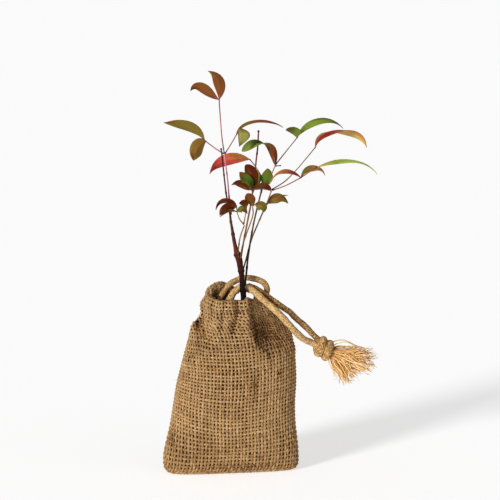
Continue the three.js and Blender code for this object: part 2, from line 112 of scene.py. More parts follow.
def ahead_on_loop(line):
    return unit(np.roll(line, -1, 0) - np.roll(line, 1, 0))


def wander(rng, at, size, wave):
    """A smooth random value along a line: sines of a few wavelengths round the given one."""
    total = np.zeros_like(at, float)
    for share in (0.45, 0.8, 1.3, 2.1):
        total += np.sin(2 * np.pi * at / (wave * share) + rng.uniform(0, 2 * np.pi)) * share**0.5
    return total * size / 2.2


def angles_round(count):
    return np.linspace(0, 2 * np.pi, count, endpoint=False)


def tube(line, side, front, wide, thick, sides, tint, bulge=1.0, loop=False):
    """A skin round a line: points, four-sided faces, end fans, their UVs in metres, and tints."""
    n = len(line)
    a = angles_round(sides)
    wide, thick = (np.broadcast_to(w, n)[:, None] * bulge for w in (wide, thick))
    points = (
        line[:, None]
        + side[:, None] * (np.cos(a) * wide)[..., None]
        + front[:, None] * (np.sin(a) * thick)[..., None]
    ).reshape(-1, 3)
    rings = np.arange(n if loop else n - 1)
    i, j = np.meshgrid(rings, np.arange(sides), indexing="ij")
    ahead, beside = (i + 1) % n, (j + 1) % sides
    quads = np.stack([i * sides + j, i * sides + beside, ahead * sides + beside, ahead * sides + j])
    far = distances(line)
    far = np.r_[far, far[-1] + np.linalg.norm(line[0] - line[-1])]
    v = np.stack([j, j + 1, j + 1, j]) / sides
    u = np.stack([far[i], far[i], far[i + 1], far[i + 1]])
    quads, uv = quads.reshape(4, -1).T, np.stack([u, v], -1).reshape(4, -1, 2).swapaxes(0, 1)
    tint = np.asarray(tint)
    tints = np.broadcast_to(tint if tint.ndim == 2 else tint.reshape(-1, 1), (n, sides)).ravel()
    fans = np.empty((0, 3), int)
    if not loop:
        points = np.vstack([points, line[:1], line[-1:]])
        tints = np.r_[tints, tints[0], tints[-1]]
        s, last = np.arange(sides), (n - 1) * sides
        low = np.stack([np.full(sides, n * sides), (s + 1) % sides, s], 1)
        high = np.stack([np.full(sides, n * sides + 1), last + s, last + (s + 1) % sides], 1)
        fans = np.vstack([low, high])
    return points, quads, fans, uv, np.zeros((len(fans), 3, 2)), tints


def joined(name, parts, material):
    """Makes one smooth-shaded piece of many skins."""
    points = np.vstack([p[0] for p in parts])
    starts = np.cumsum([0, *(len(p[0]) for p in parts[:-1])])
    faces = [f + s for p, s in zip(parts, starts) for f in (p[1], p[2])]
    uv = np.concatenate([u.reshape(-1, 2) for p in parts for u in (p[3], p[4])])
    mesh = bpy.data.meshes.new(name)
    mesh.from_pydata(points.tolist(), [], [row for f in faces for row in f.tolist()])
    mesh.uv_layers.new(name="UVMap").data.foreach_set("uv", uv.ravel())
    tint = mesh.attributes.new("tint", "FLOAT", "POINT")
    tint.data.foreach_set("value", np.concatenate([p[5] for p in parts]).astype(np.float32))
    mesh.shade_smooth()
    mesh.materials.append(material)
    return put_down(name, mesh)


def add_node(material, kind, inputs=(), **settings):
    """Adds a shader node. inputs gives each socket a number, a colour or another node's socket."""
    node = material.node_tree.nodes.new(kind)
    for key, value in settings.items():
        setattr(node, key, value)
    for key, value in dict(inputs).items():
        if isinstance(value, bpy.types.NodeSocket):
            material.node_tree.links.new(value, node.inputs[key])
        else:
            node.inputs[key].default_value = value
    return node


def linear(red, green, blue):
    """A colour as it is named on a screen, 0 to 255, turned into the light that it stands for."""
    parts = [c / 255 for c in (red, green, blue)]
    return (*(c / 12.92 if c <= 0.04045 else ((c + 0.055) / 1.055) ** 2.4 for c in parts), 1)


def ramp(material, factor, stops):
    """A colour ramp. stops are (place, colour) pairs."""
    node = add_node(material, "ShaderNodeValToRGB", {"Fac": factor})
    bar = node.color_ramp.elements
    bar[0].position, bar[0].color = stops[0]
    bar[1].position, bar[1].color = stops[-1]
    for place, colour in stops[1:-1]:
        bar.new(place).color = colour
    return node.outputs["Color"]


def places(material, kind):
    """Where each point of the skin is: "UV" for its own map in metres, "Object" for in space."""
    return add_node(material, "ShaderNodeTexCoord").outputs[kind]


def laid_along(material, scale, turn=0.0):
    """Places on the skin's own map, drawn out along the piece and turned."""
    inputs = {"Vector": places(material, "UV"), "Rotation": (0, 0, turn), "Scale": scale}
    return add_node(material, "ShaderNodeMapping", inputs).outputs[0]


def noise(material, vector, scale, detail):
    inputs = {"Vector": vector, "Scale": scale, "Detail": detail}
    return add_node(material, "ShaderNodeTexNoise", inputs).outputs["Fac"]


def tint_of(material):
    """The shade that each yarn, stem or fibre was given along its length."""
    return add_node(material, "ShaderNodeAttribute", attribute_name="tint").outputs["Fac"]


def reckon(material, operation, *values):
    """A sum on sockets and numbers."""
    node = add_node(material, "ShaderNodeMath", enumerate(values), operation=operation)
    return node.outputs[0]


def finished(material, shader, colour, height, strength, depth):
    """Gives a material its colour, and its relief to a depth in metres."""
    inputs = {"Height": height, "Strength": strength, "Distance": depth}
    bump = add_node(material, "ShaderNodeBump", inputs)
    material.node_tree.links.new(colour, shader.inputs["Base Color"])
    material.node_tree.links.new(bump.outputs["Normal"], shader.inputs["Normal"])
    return material


def new_material(name, roughness, gloss=0.12):
    """A material and its Principled shader, which has the given constants."""
    material = bpy.data.materials.new(name)
    material.use_nodes = True
    shader = material.node_tree.nodes["Principled BSDF"]
    shader.inputs["Roughness"].default_value = roughness
    shader.inputs["Specular IOR Level"].default_value = gloss
    return material, shader


def jute_finish(name, deep, middle, pale, turns, around=9, grain=0.9, fuzz=0.4):
    """Jute fibre: strands that run round and along a yarn, each yarn and stretch a shade apart.
    They pass turns times to the metre and around times round it, grain strong and fuzz rough."""
    material, shader = new_material(name, 0.95)
    strands = noise(material, laid_along(material, (turns, around, 1), 0.35), 3.0, 3.0)
    patches = noise(material, places(material, "Object"), 260.0, 2.0)
    mixed = reckon(material, "MULTIPLY_ADD", strands, grain, tint_of(material))
    whole = reckon(material, "MULTIPLY_ADD", patches, 0.4, mixed)
    centred = reckon(material, "SUBTRACT", whole, grain / 2 - 0.16)
    colour = ramp(material, centred, [(0.12, deep), (0.58, middle), (1.0, pale)])
    return finished(material, shader, colour, strands, fuzz, 0.3 * MM)


CORD_JUTE = jute_finish(
    "jute_cord", linear(80, 48, 20), linear(176, 136, 84), linear(222, 192, 142), 300, 5, 2.0, 0.9
)
CORD_THICK = 5 * MM
THIN_CORD = CORD_THICK * 0.9
STRANDS, STRAND_TURN, STRAND_GROOVE = 3, 19 * MM, 0.06
CORD_SIDES = 24


def rope(line, diameter, tint, seed, loosen=0.0):
    """A soft cord of three strands laid round each other, with the dents of its storage."""
    rng = np.random.default_rng(seed)
    far = distances(line)
    side, front = sides_of(line)
    line = line + side * wander(rng, far, loosen, 9 * MM)[:, None]
    turn = angles_round(CORD_SIDES) + 2 * np.pi * far[:, None] / STRAND_TURN
    groove = (1 - np.abs(np.sin(turn * STRANDS / 2))) ** 1.6
    bulge = (1 - STRAND_GROOVE * groove) * (1 + wander(rng, far, 0.05, 11 * MM)[:, None])
    shade = tint + wander(rng, far, 0.05, 7 * MM)
    return tube(line, side, front, diameter / 2, diameter / 2, CORD_SIDES, shade, bulge)


NECK_ROUTE = [
    (-8.6, 5.4, 124.5), (-5.9, 6.2, 130), (-2.4, 7.6, 134.6), (1.6, 9, 137.8), (5.9, 9.8, 139.8),
    (10.3, 10, 141.2), (14.8, 10, 141.3), (18.8, 10, 140.5), (22.5, 10, 139.3), (25.5, 10, 137.6),
    (27.4, 10, 135.2), (28.1, 10, 132.4), (27.4, 9.8, 129.6), (25.4, 9, 127.2),
]
FRONT_ROUTE = [
    (-1.4, 3.4, 125.5), (1.1, 4, 128.8), (2.9, 4.2, 131.7), (6.2, 4.4, 134.7), (9.6, 4.2, 136.1),
    (12.7, 3.3, 135.4), (16.5, 1, 133.2), (19.7, -2.4, 130.6), (22.8, -6.2, 127.8),
    (26.1, -8.6, 124.7), (30.4, -10.4, 121.2), (34.2, -11.6, 117.5), (40.6, -11.4, 110.4),
    (47, -9, 103.2), (50.5, -7.2, 99.6), (53.8, -5.7, 97.2), (57.5, -4.4, 95.4), (61.3, -3.5, 93.3),
    (64.6, -3, 91.4),
]
BACK_ROUTE = [
    (13.3, 4.8, 136.2), (16.6, 4.8, 135.1), (20.3, 4.8, 133.2), (23.9, 3.6, 130.8),
    (27.9, 0.9, 128.2), (30.9, -1.2, 125.9), (33.8, -2.4, 123.8), (38.6, -3, 120.5),
    (43.4, -3, 117.1), (47, -2.8, 113.2), (50.9, -2.6, 109.8), (54.2, -2.6, 106.8),
    (57.8, -2.7, 103.1), (60.8, -2.8, 99.7), (63.9, -2.9, 96.8), (65.6, -3, 94.8),
]
RING = 0.5 * MM
SLACK = 0.2 * MM
neck_line = smooth_line(np.array(NECK_ROUTE) * MM, RING)
front_line = smooth_line(np.array(FRONT_ROUTE) * MM, RING)
back_line = smooth_line(np.array(BACK_ROUTE) * MM, RING)
neck_rope = rope(neck_line, THIN_CORD, 0.2, 1, 0.15 * MM)
front_rope = rope(front_line, CORD_THICK, 0.3, 2, SLACK)
back_rope = rope(back_line, THIN_CORD, 0.04, 3, SLACK)
neck_cord = joined("neck_cord_rope", [neck_rope], CORD_JUTE)
pull_front = joined("pull_cord_front_rope", [front_rope], CORD_JUTE)
pull_back = joined("pull_cord_back_rope", [back_rope], CORD_JUTE)

# The knot: both ends go round together twice, so two fat turns lie side by side, leaning
# a little, with a core of cord through their middle.
KNOT_AT = np.array([68.4, -3, 89.8]) * MM
KNOT_UP = np.array([0.1, 0, 0.995])
KNOT_ON = np.array([0.85, 0, -0.52])
KNOT_TURN = 5.7 * MM
KNOT_TALL, KNOT_DEEP = 5.5 * MM, 2.8 * MM
KNOT_FROM, KNOT_TO, KNOT_TUCK = -0.8 * np.pi, 3.8 * np.pi, 1.6
angle = np.linspace(KNOT_FROM, KNOT_TO, 220)
swell = np.clip((angle - KNOT_FROM) / KNOT_TUCK, 0.15, 1)
swell = swell * np.clip((KNOT_TO - angle) / KNOT_TUCK, 0.15, 1)
knot_line = (
    KNOT_AT
    + KNOT_ON * ((angle - 1.5 * np.pi)[:, None] / (2 * np.pi) * KNOT_TURN)
    - KNOT_UP * (np.cos(angle) * swell * KNOT_TALL)[:, None]
    - np.array([0, 1, 0]) * (np.sin(angle) * swell * KNOT_DEEP)[:, None]
)
core_line = smooth_line([KNOT_AT - KNOT_ON * 5 * MM, KNOT_AT, KNOT_AT + KNOT_ON * 6 * MM], RING)
knot_ropes = [rope(knot_line, 6.1 * MM, 0.16, 4), rope(core_line, 7.4 * MM, 0.0, 5)]
knot = joined("cord_knot_turns", knot_ropes, CORD_JUTE)

# The combed-out end: curved, springy fibres and a few thin stray ones, fanned out by the knot.
FRAY_COLOURS = linear(156, 102, 50), linear(232, 184, 118), linear(255, 236, 184)
FRAY_JUTE = jute_finish("frayed_jute", *FRAY_COLOURS, 260, 9, 0.7, 0.2)
FRAY_ROOT = np.array([72.6, -3, 86.2]) * MM
# How far the fan reaches in millimetres at each heading, in degrees from level.
FAN_REACH = [(-86, 18), (-70, 22), (-50, 25), (-32, 28), (-21, 36), (-9, 38), (1, 34), (14, 25)]
BUNCHES = (-1, -7, -13, -19, -25, -36, -44, -52, -60)
STRAY_FAN, FIBRE_DROOP = (-86, 5), 1.2 * MM
FIBRES, STRAYS, FIBRE_STEPS = 240, 40, 12
rng = np.random.default_rng(11)
fibres = []
for i in range(FIBRES):
    stray = i < STRAYS
    heading = rng.uniform(*STRAY_FAN) if stray else rng.choice(BUNCHES) + rng.normal(0, 2.4)
    reach = np.interp(heading, *zip(*FAN_REACH)) * MM * rng.uniform(0.6 if stray else 0.76, 1)
    along = np.linspace(0, 1, FIBRE_STEPS)
    veer = rng.normal(0, 10 if stray else 20 if i % 4 else 38) * (1 - along) ** 2
    aim = np.radians(heading + veer + wander(rng, along, 6 if stray else 4, 0.7))
    out = np.stack([np.cos(aim), np.zeros(FIBRE_STEPS), np.sin(aim)], 1)
    across = np.clip(0.08 * (heading + 26) + rng.normal(0, 0.8), -3.4, 2.2)
    root = FRAY_ROOT + np.array([-0.45 * across, rng.uniform(-2.6, 2.6), across]) * MM
    lean = rng.uniform(-1, 1) * 6 * MM
    path = root + out * (along * reach)[:, None]
    path[:, 1] += along**1.3 * lean
    path[:, 2] -= along**2 * FIBRE_DROOP
    side, front = sides_of(path)
    fat = (0.13 if stray else rng.uniform(0.3, 0.5)) * MM
    shape = fat * np.interp(along, [0, 0.15, 0.75, 1], [1, 1, 0.85, 0.3])
    shade = rng.uniform(-0.1, 0.5) - 0.45 * (1 - along) ** 5
    fibres.append(tube(path, side, front, shape, shape, 5, shade))
tassel = joined("cord_tassel_fibres", fibres, FRAY_JUTE)


def length_of(line):
    return float(distances(line)[-1])


def stands_for(piece, node):
    """Hangs a piece on the root body, and hides the solid that it takes the place of."""
    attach(piece, "root")
    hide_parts(node)


stands_for(neck_cord, "neck_cord")
stands_for(pull_front, "pull_cord_front")
stands_for(pull_back, "pull_cord_back")
stands_for(knot, "cord_knot")
stands_for(tassel, "cord_tassel")

# ---- Burlap bag
# Plain-woven jute: single yarns that go over and under each other, two and a half millimetres
# apart, sewn to a bag, its mouth folded in to a hem and gathered by the drawstring.

# Sections of the filled bag: height, left, right, half depth, squareness.
BAG_SECTIONS = np.array(
    [
        (0, -45.5, 46.5, 11, 3.2), (2.8, -49.2, 49.6, 13.5, 3.2), (13.4, -49.9, 50.1, 17, 2.8),
        (23, -48, 49.3, 19, 2.6), (35.6, -45.1, 47.9, 20.5, 2.4), (50.5, -42.6, 47.5, 21, 2.3),
        (65.2, -40.2, 48.4, 21, 2.2), (80, -36.5, 48, 20.5, 2.2), (98, -32, 46, 19, 2.2),
        (105, -30.8, 44.6, 18, 2.1), (111.4, -29.4, 41.4, 17, 2.1), (118.7, -26.8, 35, 16, 2),
        (127.5, -25.2, 29.4, 15, 2), (133.9, -20.6, 27, 13.8, 2), (141, -16, 25, 12.5, 2),
    ]
)
# The height of the mouth's edge at each angle in degrees, from the right side round the back.
RIM = np.array(
    [
        (0, 122), (30, 125), (60, 132), (90, 135), (120, 139.3), (150, 136.5), (180, 132.5),
        (205, 131.8), (222, 131), (238, 128.6), (262, 128.4), (280, 128.4), (288, 129.8),
        (298, 129.4), (312, 126), (330, 122.5), (360, 122),
    ]
)
# Pleats of the back and sides: angle, half width in degrees, depth, height where it starts.
PLEATS = [
    (337, 6, 1.6, 95), (0, 7, 2.2, 95), (24, 7, 2.4, 90), (48, 7, 2.6, 95), (72, 7, 2.4, 90),
    (97, 7, 2.4, 95), (122, 8, 2.6, 90), (148, 8, 2.4, 95), (174, 8, 2.4, 88), (199, 7, 3.4, 92),
]
# Folds of the front: points (x, z), width on the left, depth (below 0 a ridge), width on the right.
FOLDS = [
    ([(13, 131), (12.4, 126), (13.6, 120), (14.4, 111), (16.2, 103), (20.5, 95.5)], 1.9, 4.4, 9),
    ([(3.4, 131), (4.2, 123.5), (3, 117), (0, 106)], 2.8, 4.6, 2.6),
    ([(9, 130), (9.3, 118), (10.5, 104)], 2.4, -2.1, 2.2),
    ([(-20, 107), (-23.5, 99), (-29, 92)], 4.5, 3.0, 4.5),
    ([(-12, 116), (-13.2, 101), (-16, 95), (-25, 87.5), (-33, 82)], 3.0, -1.8, 3.0),
    ([(-23.6, 118), (-22.9, 112.5), (-22.4, 107.5)], 6, 3.6, 0.8),
    ([(14, 91), (22, 90), (31, 89.5), (44, 91)], 5, -1.3, 5),
    ([(-5, 131), (-7, 122), (-9, 112)], 2.0, 2.3, 2.0),
    ([(-13, 130), (-15.5, 122), (-17.5, 114)], 2.0, 2.0, 2.0),
]
CREASE = np.array(FOLDS[0][0], float)
# Right of its deepest crease the front falls back, by this share of its depth within this width.
FALL_AWAY, FALL_WIDE, FALL_FROM, FALL_UP_TO = 0.62, 9, 88, 104
# The rows of the weave follow the rim above the first height, and rise towards the side seams.
LEVEL_UP_TO, RIM_HEIGHT = 84, 130
LIFT_LEFT, LIFT_RIGHT = 8.0, 6.5
PLEAT_TALL, SHOULDER_SINK = 34, 3.0
HEM_ROUND, HEM_TURN, SEAM_REACH = 1.9, 13.0, 11.0
WARPS, PITCH = 88, 2.57
HEIGHT_STEP = 0.5
heights = np.arange(0, 145.1, HEIGHT_STEP)
turns = np.linspace(0, 2 * np.pi, 1441)


def hermite(table, at, column):
    """A smooth value between the rows of a table that is sorted by its first column."""
    x, y = table[:, 0], table[:, column]
    slope = np.gradient(y, x)
    slope[1:-1] = (y[2:] - y[:-2]) / (x[2:] - x[:-2])
    at = np.clip(at, x[0], x[-1])
    i = np.clip(np.searchsorted(x, at, side="right") - 1, 0, len(x) - 2)
    span = x[i + 1] - x[i]
    t = (at - x[i]) / span
    return (
        y[i] * (2 * t**3 - 3 * t**2 + 1)
        + slope[i] * span * (t**3 - 2 * t**2 + t)
        + y[i + 1] * (3 * t**2 - 2 * t**3)
        + slope[i + 1] * span * (t**3 - t**2)
    )


def hump(value, width):
    """1 at nought, and less and less to both sides."""
    return np.exp(-((value / width) ** 2))


def smoothstep(value, low, high):
    """An eased step from 0 to 1 between two values."""
    t = np.clip((value - low) / (high - low), 0, 1)
    return t * t * (3 - 2 * t)


def signed_power(value, power):
    """A power of a value's size, with the value's own sign."""
    return np.sign(value) * np.abs(value) ** power


def section(angle, z):
    """Where the bag's plain outline lies at an angle and a height, and which way is out."""
    left, right, depth, power = (hermite(BAG_SECTIONS, z, c) for c in (1, 2, 3, 4))
    power = 2 / power
    half = (right - left) / 2
    c, s = np.cos(angle), np.sin(angle)
    x, y = half * signed_power(c, power), depth * signed_power(s, power)
    out = [signed_power(c, 2 - power) / half, signed_power(s, 2 - power) / depth]
    return (left + right) / 2 + x, y, unit(np.stack(out, -1))


def angle_at(share, z):
    """The outline's angle at a share of the way round the cloth, between the rows worked out."""
    share = np.mod(share, 1) * (len(shares) - 1)
    row = np.clip(z / HEIGHT_STEP, 0, len(heights) - 1.001)
    i, j = np.floor(row).astype(int), np.floor(share).astype(int)
    j = np.minimum(j, len(shares) - 2)
    di, dj = row - i, share - j
    grid = share_angles
    low = grid[i, j] * (1 - dj) + grid[i, j + 1] * dj
    high = grid[i + 1, j] * (1 - dj) + grid[i + 1, j + 1] * dj
    return low * (1 - di) + high * di


def fold_depth(x, z):
    """How deep the folds of the front have sunk a place."""
    depth = np.zeros_like(x)
    for points, width_left, deep, width_right in FOLDS:
        p = np.array(points, float)
        best = np.full_like(x, 1e9)
        right = np.zeros_like(x)
        for a, b in zip(p, p[1:]):
            d = b - a
            t = np.clip(((x - a[0]) * d[0] + (z - a[1]) * d[1]) / (d @ d), 0, 1)
            ox, oz = x - a[0] - t * d[0], z - a[1] - t * d[1]
            away = np.hypot(ox, oz)
            nearer = away < best
            best = np.where(nearer, away, best)
            right = np.where(nearer, np.sign(ox * -d[1] + oz * d[0]), right)
        depth += deep * hump(best, np.where(right > 0, width_right, width_left))
    return depth


def crease_at(z):
    return np.interp(z, CREASE[::-1, 1], CREASE[::-1, 0])


def fallen_back(x, z):
    """The share of its depth by which the front falls back, right of its deepest crease."""
    rising = smoothstep(z, FALL_FROM, FALL_UP_TO) * (1 - 0.3 * smoothstep(z, 112, 124))
    return FALL_AWAY * rising * smoothstep(x - crease_at(z), 0, FALL_WIDE)


def settled(angle, bearing, z, inset=1.0):
    """A point of the outline once its pleats and folds have sunk it, and which way is out."""
    x, y, out = section(angle, z)
    sink = np.full_like(x, inset)
    for at, width, deep, start in PLEATS:
        off = np.mod(bearing - at + 180, 360) - 180
        sink += deep * smoothstep(z, start, start + PLEAT_TALL) * hump(off, width)
    sink *= 1 - 0.7 * smoothstep(z, 120, 128)
    sink += np.where(y < 0, smoothstep(-y, 0, 4.5), 0) * fold_depth(x, z)
    sink += SHOULDER_SINK * smoothstep(z, 109.5, 115) * smoothstep(-x, 16, 22)
    x, y = x - out[..., 0] * sink, y - out[..., 1] * sink
    return x, np.where(y < 0, y * (1 - fallen_back(x, z)), y), out


# The angle of each share of the way round, measured along the cloth: level with the middle of
# the front the warps keep their pitch, and what the bag narrows by is taken up at its sides.
# Right of the crease they are spread evenly over the cloth where it falls back.
shares = np.linspace(0, 1, 721)
front_share = 1 / (1 + np.exp((np.abs(shares - 0.75) - 0.215) / 0.02))
share_angles = []
for z in heights:
    x, y, _ = section(turns, np.full_like(turns, z))
    far = distances(np.column_stack([x, y]))
    sunk = settled(turns, np.degrees(turns), np.full_like(turns, z))
    laid = distances(np.column_stack(sunk[:2]))
    at = np.searchsorted(np.where(turns > 1.5 * np.pi, x, -99), crease_at(z))
    spread = (laid[at:] - laid[at]) / (laid[-1] - laid[at])
    even = np.r_[far[:at], far[at] + (far[-1] - far[at]) * spread]
    laid = far + (even - far) * smoothstep(z, FALL_FROM, FALL_UP_TO)
    keep = np.clip(PITCH * WARPS / far[-1] - 1, -0.08, 0.45)
    pace = 1 + 1.8 * keep * (front_share - front_share.mean())
    crowd = np.r_[0, np.cumsum((pace[1:] + pace[:-1]) / 2)]
    share_angles.append(np.interp(crowd / crowd[-1] * far[-1], laid, turns))
share_angles = np.array(share_angles)


def cloth(share, rise, inset=1.0):
    """A point of the cloth in millimetres. rise is measured up the warps from the bottom edge:
    below 0 it runs under the bag to the seam, above the rim it turns in to the hem."""
    share, rise = np.broadcast_arrays(np.asarray(share, float), np.asarray(rise, float))
    wall = np.clip(rise, 0, RIM_HEIGHT)
    angle = angle_at(share, wall)
    rim = hermite(RIM, np.mod(np.degrees(angle), 360), 1)
    over = np.clip((wall - LEVEL_UP_TO) / (RIM_HEIGHT - LEVEL_UP_TO), 0, 1)
    z = np.where(wall <= LEVEL_UP_TO, wall, LEVEL_UP_TO + over * (rim - LEVEL_UP_TO))
    x, y, _ = section(angle, z)
    edge = np.clip(x / 45, -1.1, 1.1)
    lift_left = LIFT_LEFT * smoothstep(wall, 4, 34) * (1 - smoothstep(wall, 42, 96))
    lift_right = LIFT_RIGHT * smoothstep(wall, 6, 34) * (1 - smoothstep(wall, 92, 120))
    z = z + np.where(edge < 0, lift_left, lift_right) * np.abs(edge) ** 1.6
    x, y, out = settled(angle_at(share, z), np.degrees(angle), z, inset)
    z = z + 1.05 * np.exp(-z / 3)
    under = np.clip(-rise / SEAM_REACH, 0, 1)
    y = y * (1 - under)
    beyond = np.clip(rise - RIM_HEIGHT, 0, None)
    bend = np.clip(beyond / HEM_ROUND, 0, np.pi)
    inward = HEM_ROUND * (1 - np.cos(bend))
    x, y = x - out[..., 0] * inward, y - out[..., 1] * inward
    z = z + HEM_ROUND * np.sin(bend) - np.clip(beyond - np.pi * HEM_ROUND, 0, None)
    z = z - 2.2 * smoothstep(wall, 100, RIM_HEIGHT)
    return np.stack([x, y, z], -1)


def cloth_and_out(share, rise):
    """A point of the cloth and the direction square to it, away from its inner side."""
    ds, dr = 0.0015, 0.4
    across = cloth(share + ds, rise) - cloth(share - ds, rise)
    up = cloth(share, rise + dr) - cloth(share, rise - dr)
    return cloth(share, rise), unit(np.cross(across, up))


YARN_WIDE, YARN_THICK, YARN_WEAVE, YARN_SIDES = 0.84, 0.52, 0.5, 6
# Each yarn has a fat slub; the open middle of the front and where it falls back have thinner ones.
SLUB, THIN_MIDDLE, THIN_FALLEN = 0.22, 0.17, 0.32
WARP_DRIFT, WEFT_DRIFT = 0.0011, 0.24
# How much darker a yarn's inner side is, which darkens what shows through the holes of the weave.
INNER_SIDE_DARKER = 0.45
RISE_LOW, RISE_HIGH = -SEAM_REACH + 0.4, RIM_HEIGHT + np.pi * HEM_ROUND + HEM_TURN
ROWS = 59
rows = np.linspace(RISE_LOW + 1.2, RISE_HIGH - 1.0, ROWS)
# The cloth pulled up over the cord leaves a gap under the back hem.
GAP_MIDDLE, GAP_HALF, EDGE_YARN = (10.5, 127.4), (8.0, 3.3), 0.62


def in_gap(p):
    """Which points of a yarn lie in the gap."""
    x, y, z = p.T
    across, up = (x - GAP_MIDDLE[0]) / GAP_HALF[0], (z - GAP_MIDDLE[1]) / GAP_HALF[1]
    return (y > 4) & (across**4 + up**4 < 1)


def cut_at_gap(p):
    """The unbroken runs of a yarn that lie clear of the gap."""
    keep = ~in_gap(p)
    edges = np.flatnonzero(np.diff(np.r_[0, keep.astype(int), 0]))
    return [slice(a, b) for a, b in zip(edges[::2], edges[1::2]) if b - a > 3]


# Stains of the front, then painted shade: x, z, half width, half height, how dark.
FRONT_STAINS_AND_PAINTED_SHADE = [
    (15, 66, 1.3, 8, 0.45), (33, 75, 1.2, 1.6, 0.6), (18.3, 13, 3.2, 1.6, 0.25),
    (-43.6, 24.9, 2, 4, 0.25), (12, 6, 30, 4, 0.12), (-30, 16, 13, 12, 0.12),
    # From here on the rows are painted shade: the hollow right of the deep crease, the crease itself, the
    # notch under the left lobe and the band below it.
    (22, 103, 6, 12, 0.2), (34, 103, 9, 11, 0.25), (28, 117, 8, 7, 0.08),
    (14.6, 117, 1.3, 9, 0.3), (16.8, 104, 1.8, 8, 0.3), (-24.6, 110.5, 1.7, 4.5, 0.7),
    (-24, 97, 5, 9, 0.1),
]


def stains_and_painted_shade(p):
    """Darkening by soil that has worked through and by a few reddish slubs, and painted shade in the
    front's crease, in the hollow right of it and under the left lobe.
    """
    total = np.zeros(len(p))
    for x, z, wide, tall, much in FRONT_STAINS_AND_PAINTED_SHADE:
        total += much * hump(p[:, 0] - x, wide) * hump(p[:, 2] - z, tall)
    return total * (p[:, 1] < 0)


def yarn(share, rise, over, tint, seed, loop=False):
    """One yarn along the cloth, over and under those that cross it, thick and thin by turns."""
    rng = np.random.default_rng(seed)
    p, out = cloth_and_out(share, rise)
    far = distances(p)
    p = p + out * (over * YARN_WEAVE)[:, None]
    ahead = ahead_on_loop(p) if loop else unit(np.gradient(p, axis=0))
    side = unit(np.cross(out, ahead))
    front = np.cross(ahead, side)
    fat = 1 + wander(rng, far, 0.07, 23) + SLUB * hump(far - rng.uniform(0, 400), 5)
    middle = hump(p[:, 0] + 1, 17) * hump(p[:, 2] - 82, 42) * (p[:, 1] < 0)
    fallen = fallen_back(p[:, 0], p[:, 2]) / FALL_AWAY * (p[:, 1] < 0)
    fat = fat * (1.04 - THIN_MIDDLE * middle - THIN_FALLEN * fallen)
    if not loop:
        beside = cloth(share + 1 / WARPS, rise) - cloth(share, rise)
        fat = fat * np.clip(np.linalg.norm(beside, axis=1) / PITCH * 1.08, 0.5, 1)
    # Further into the turned-in hem the yarns are painted darker: painted shade inside the bag's mouth.
    inner = smoothstep(rise - RIM_HEIGHT - np.pi * HEM_ROUND, -1, 7)
    # A yarn is painted a little lighter where it passes over and darker where it passes under: painted
    # light and shade of the crossings.
    shade = tint + wander(rng, far, 0.07, 31) - stains_and_painted_shade(p) + over * 0.02 - 0.4 * inner
    shade = shade[:, None] - INNER_SIDE_DARKER * (np.sin(angles_round(YARN_SIDES)) < -0.5)
    wide, thick = YARN_WIDE * fat * MM, YARN_THICK * fat**0.5 * MM
    whole = loop and not in_gap(p).any()
    return [
        tube(p[r] * MM, side[r], front[r], wide[r], thick[r], YARN_SIDES, shade[r], loop=whole)
        for r in ([slice(None)] if whole else cut_at_gap(p))
    ]


BURLAP_COLOURS = linear(76, 40, 12), linear(168, 132, 88), linear(212, 182, 138)
BURLAP = jute_finish("burlap_yarn", *BURLAP_COLOURS, 300, 4, 1.3)
rng = np.random.default_rng(21)
warp_parts = []
for j in range(WARPS):
    steps = np.arange(2 * ROWS - 1) / 2
    rise = np.r_[RISE_LOW, np.interp(steps, np.arange(ROWS), rows), RISE_HIGH]
    over = np.r_[0, np.cos(np.pi * (steps + j)), 0]
    drift = wander(rng, rise, WARP_DRIFT, 37)
    warp_parts += yarn((j + 0.5) / WARPS + drift, rise, over, rng.normal(0.16, 0.035), 100 + j)
weft_parts = []
for i in range(ROWS):
    steps = np.arange(2 * WARPS) / 2
    share = (steps + 0.5) / WARPS
    over = -np.cos(np.pi * (steps + i))
    drift = wander(rng, share, WEFT_DRIFT, 1 / 7) * np.sin(np.pi * share) ** 0.3
    weft_parts += yarn(share, rows[i] + drift, over, rng.normal(0.16, 0.04), 300 + i, True)

# A doubled yarn is laid round the gap's edge and holds the cut ends.
back_share, back_rise = np.meshgrid(np.linspace(0.12, 0.38, 180), np.linspace(112, 132, 80))
back = cloth(back_share.ravel(), back_rise.ravel())
around = angles_round(120)
c, s = signed_power(np.cos(around), 0.5), signed_power(np.sin(around), 0.5)
for strand, grow in enumerate((0.25, 0.95)):
    edge_x = GAP_MIDDLE[0] + (GAP_HALF[0] + grow) * c
    edge_z = GAP_MIDDLE[1] + (GAP_HALF[1] + grow) * s
    apart = (edge_x[:, None] - back[:, 0]) ** 2 + (edge_z[:, None] - back[:, 2]) ** 2
    near = np.exp(-apart / 0.6)
    edge_y = (near * back[:, 1]).sum(1) / near.sum(1)
    line = np.stack([edge_x, edge_y, edge_z], 1) * MM
    ahead = ahead_on_loop(line)
    side = unit(np.cross([0.0, 1.0, 0.0], ahead))
    front, fat, shade = np.cross(ahead, side), EDGE_YARN * MM, 0.1 + 0.08 * strand
    weft_parts.append(tube(line, side, front, fat, fat, YARN_SIDES, shade, loop=True))
warps = joined("burlap_warps", warp_parts, BURLAP)
wefts = joined("burlap_wefts", weft_parts, BURLAP)

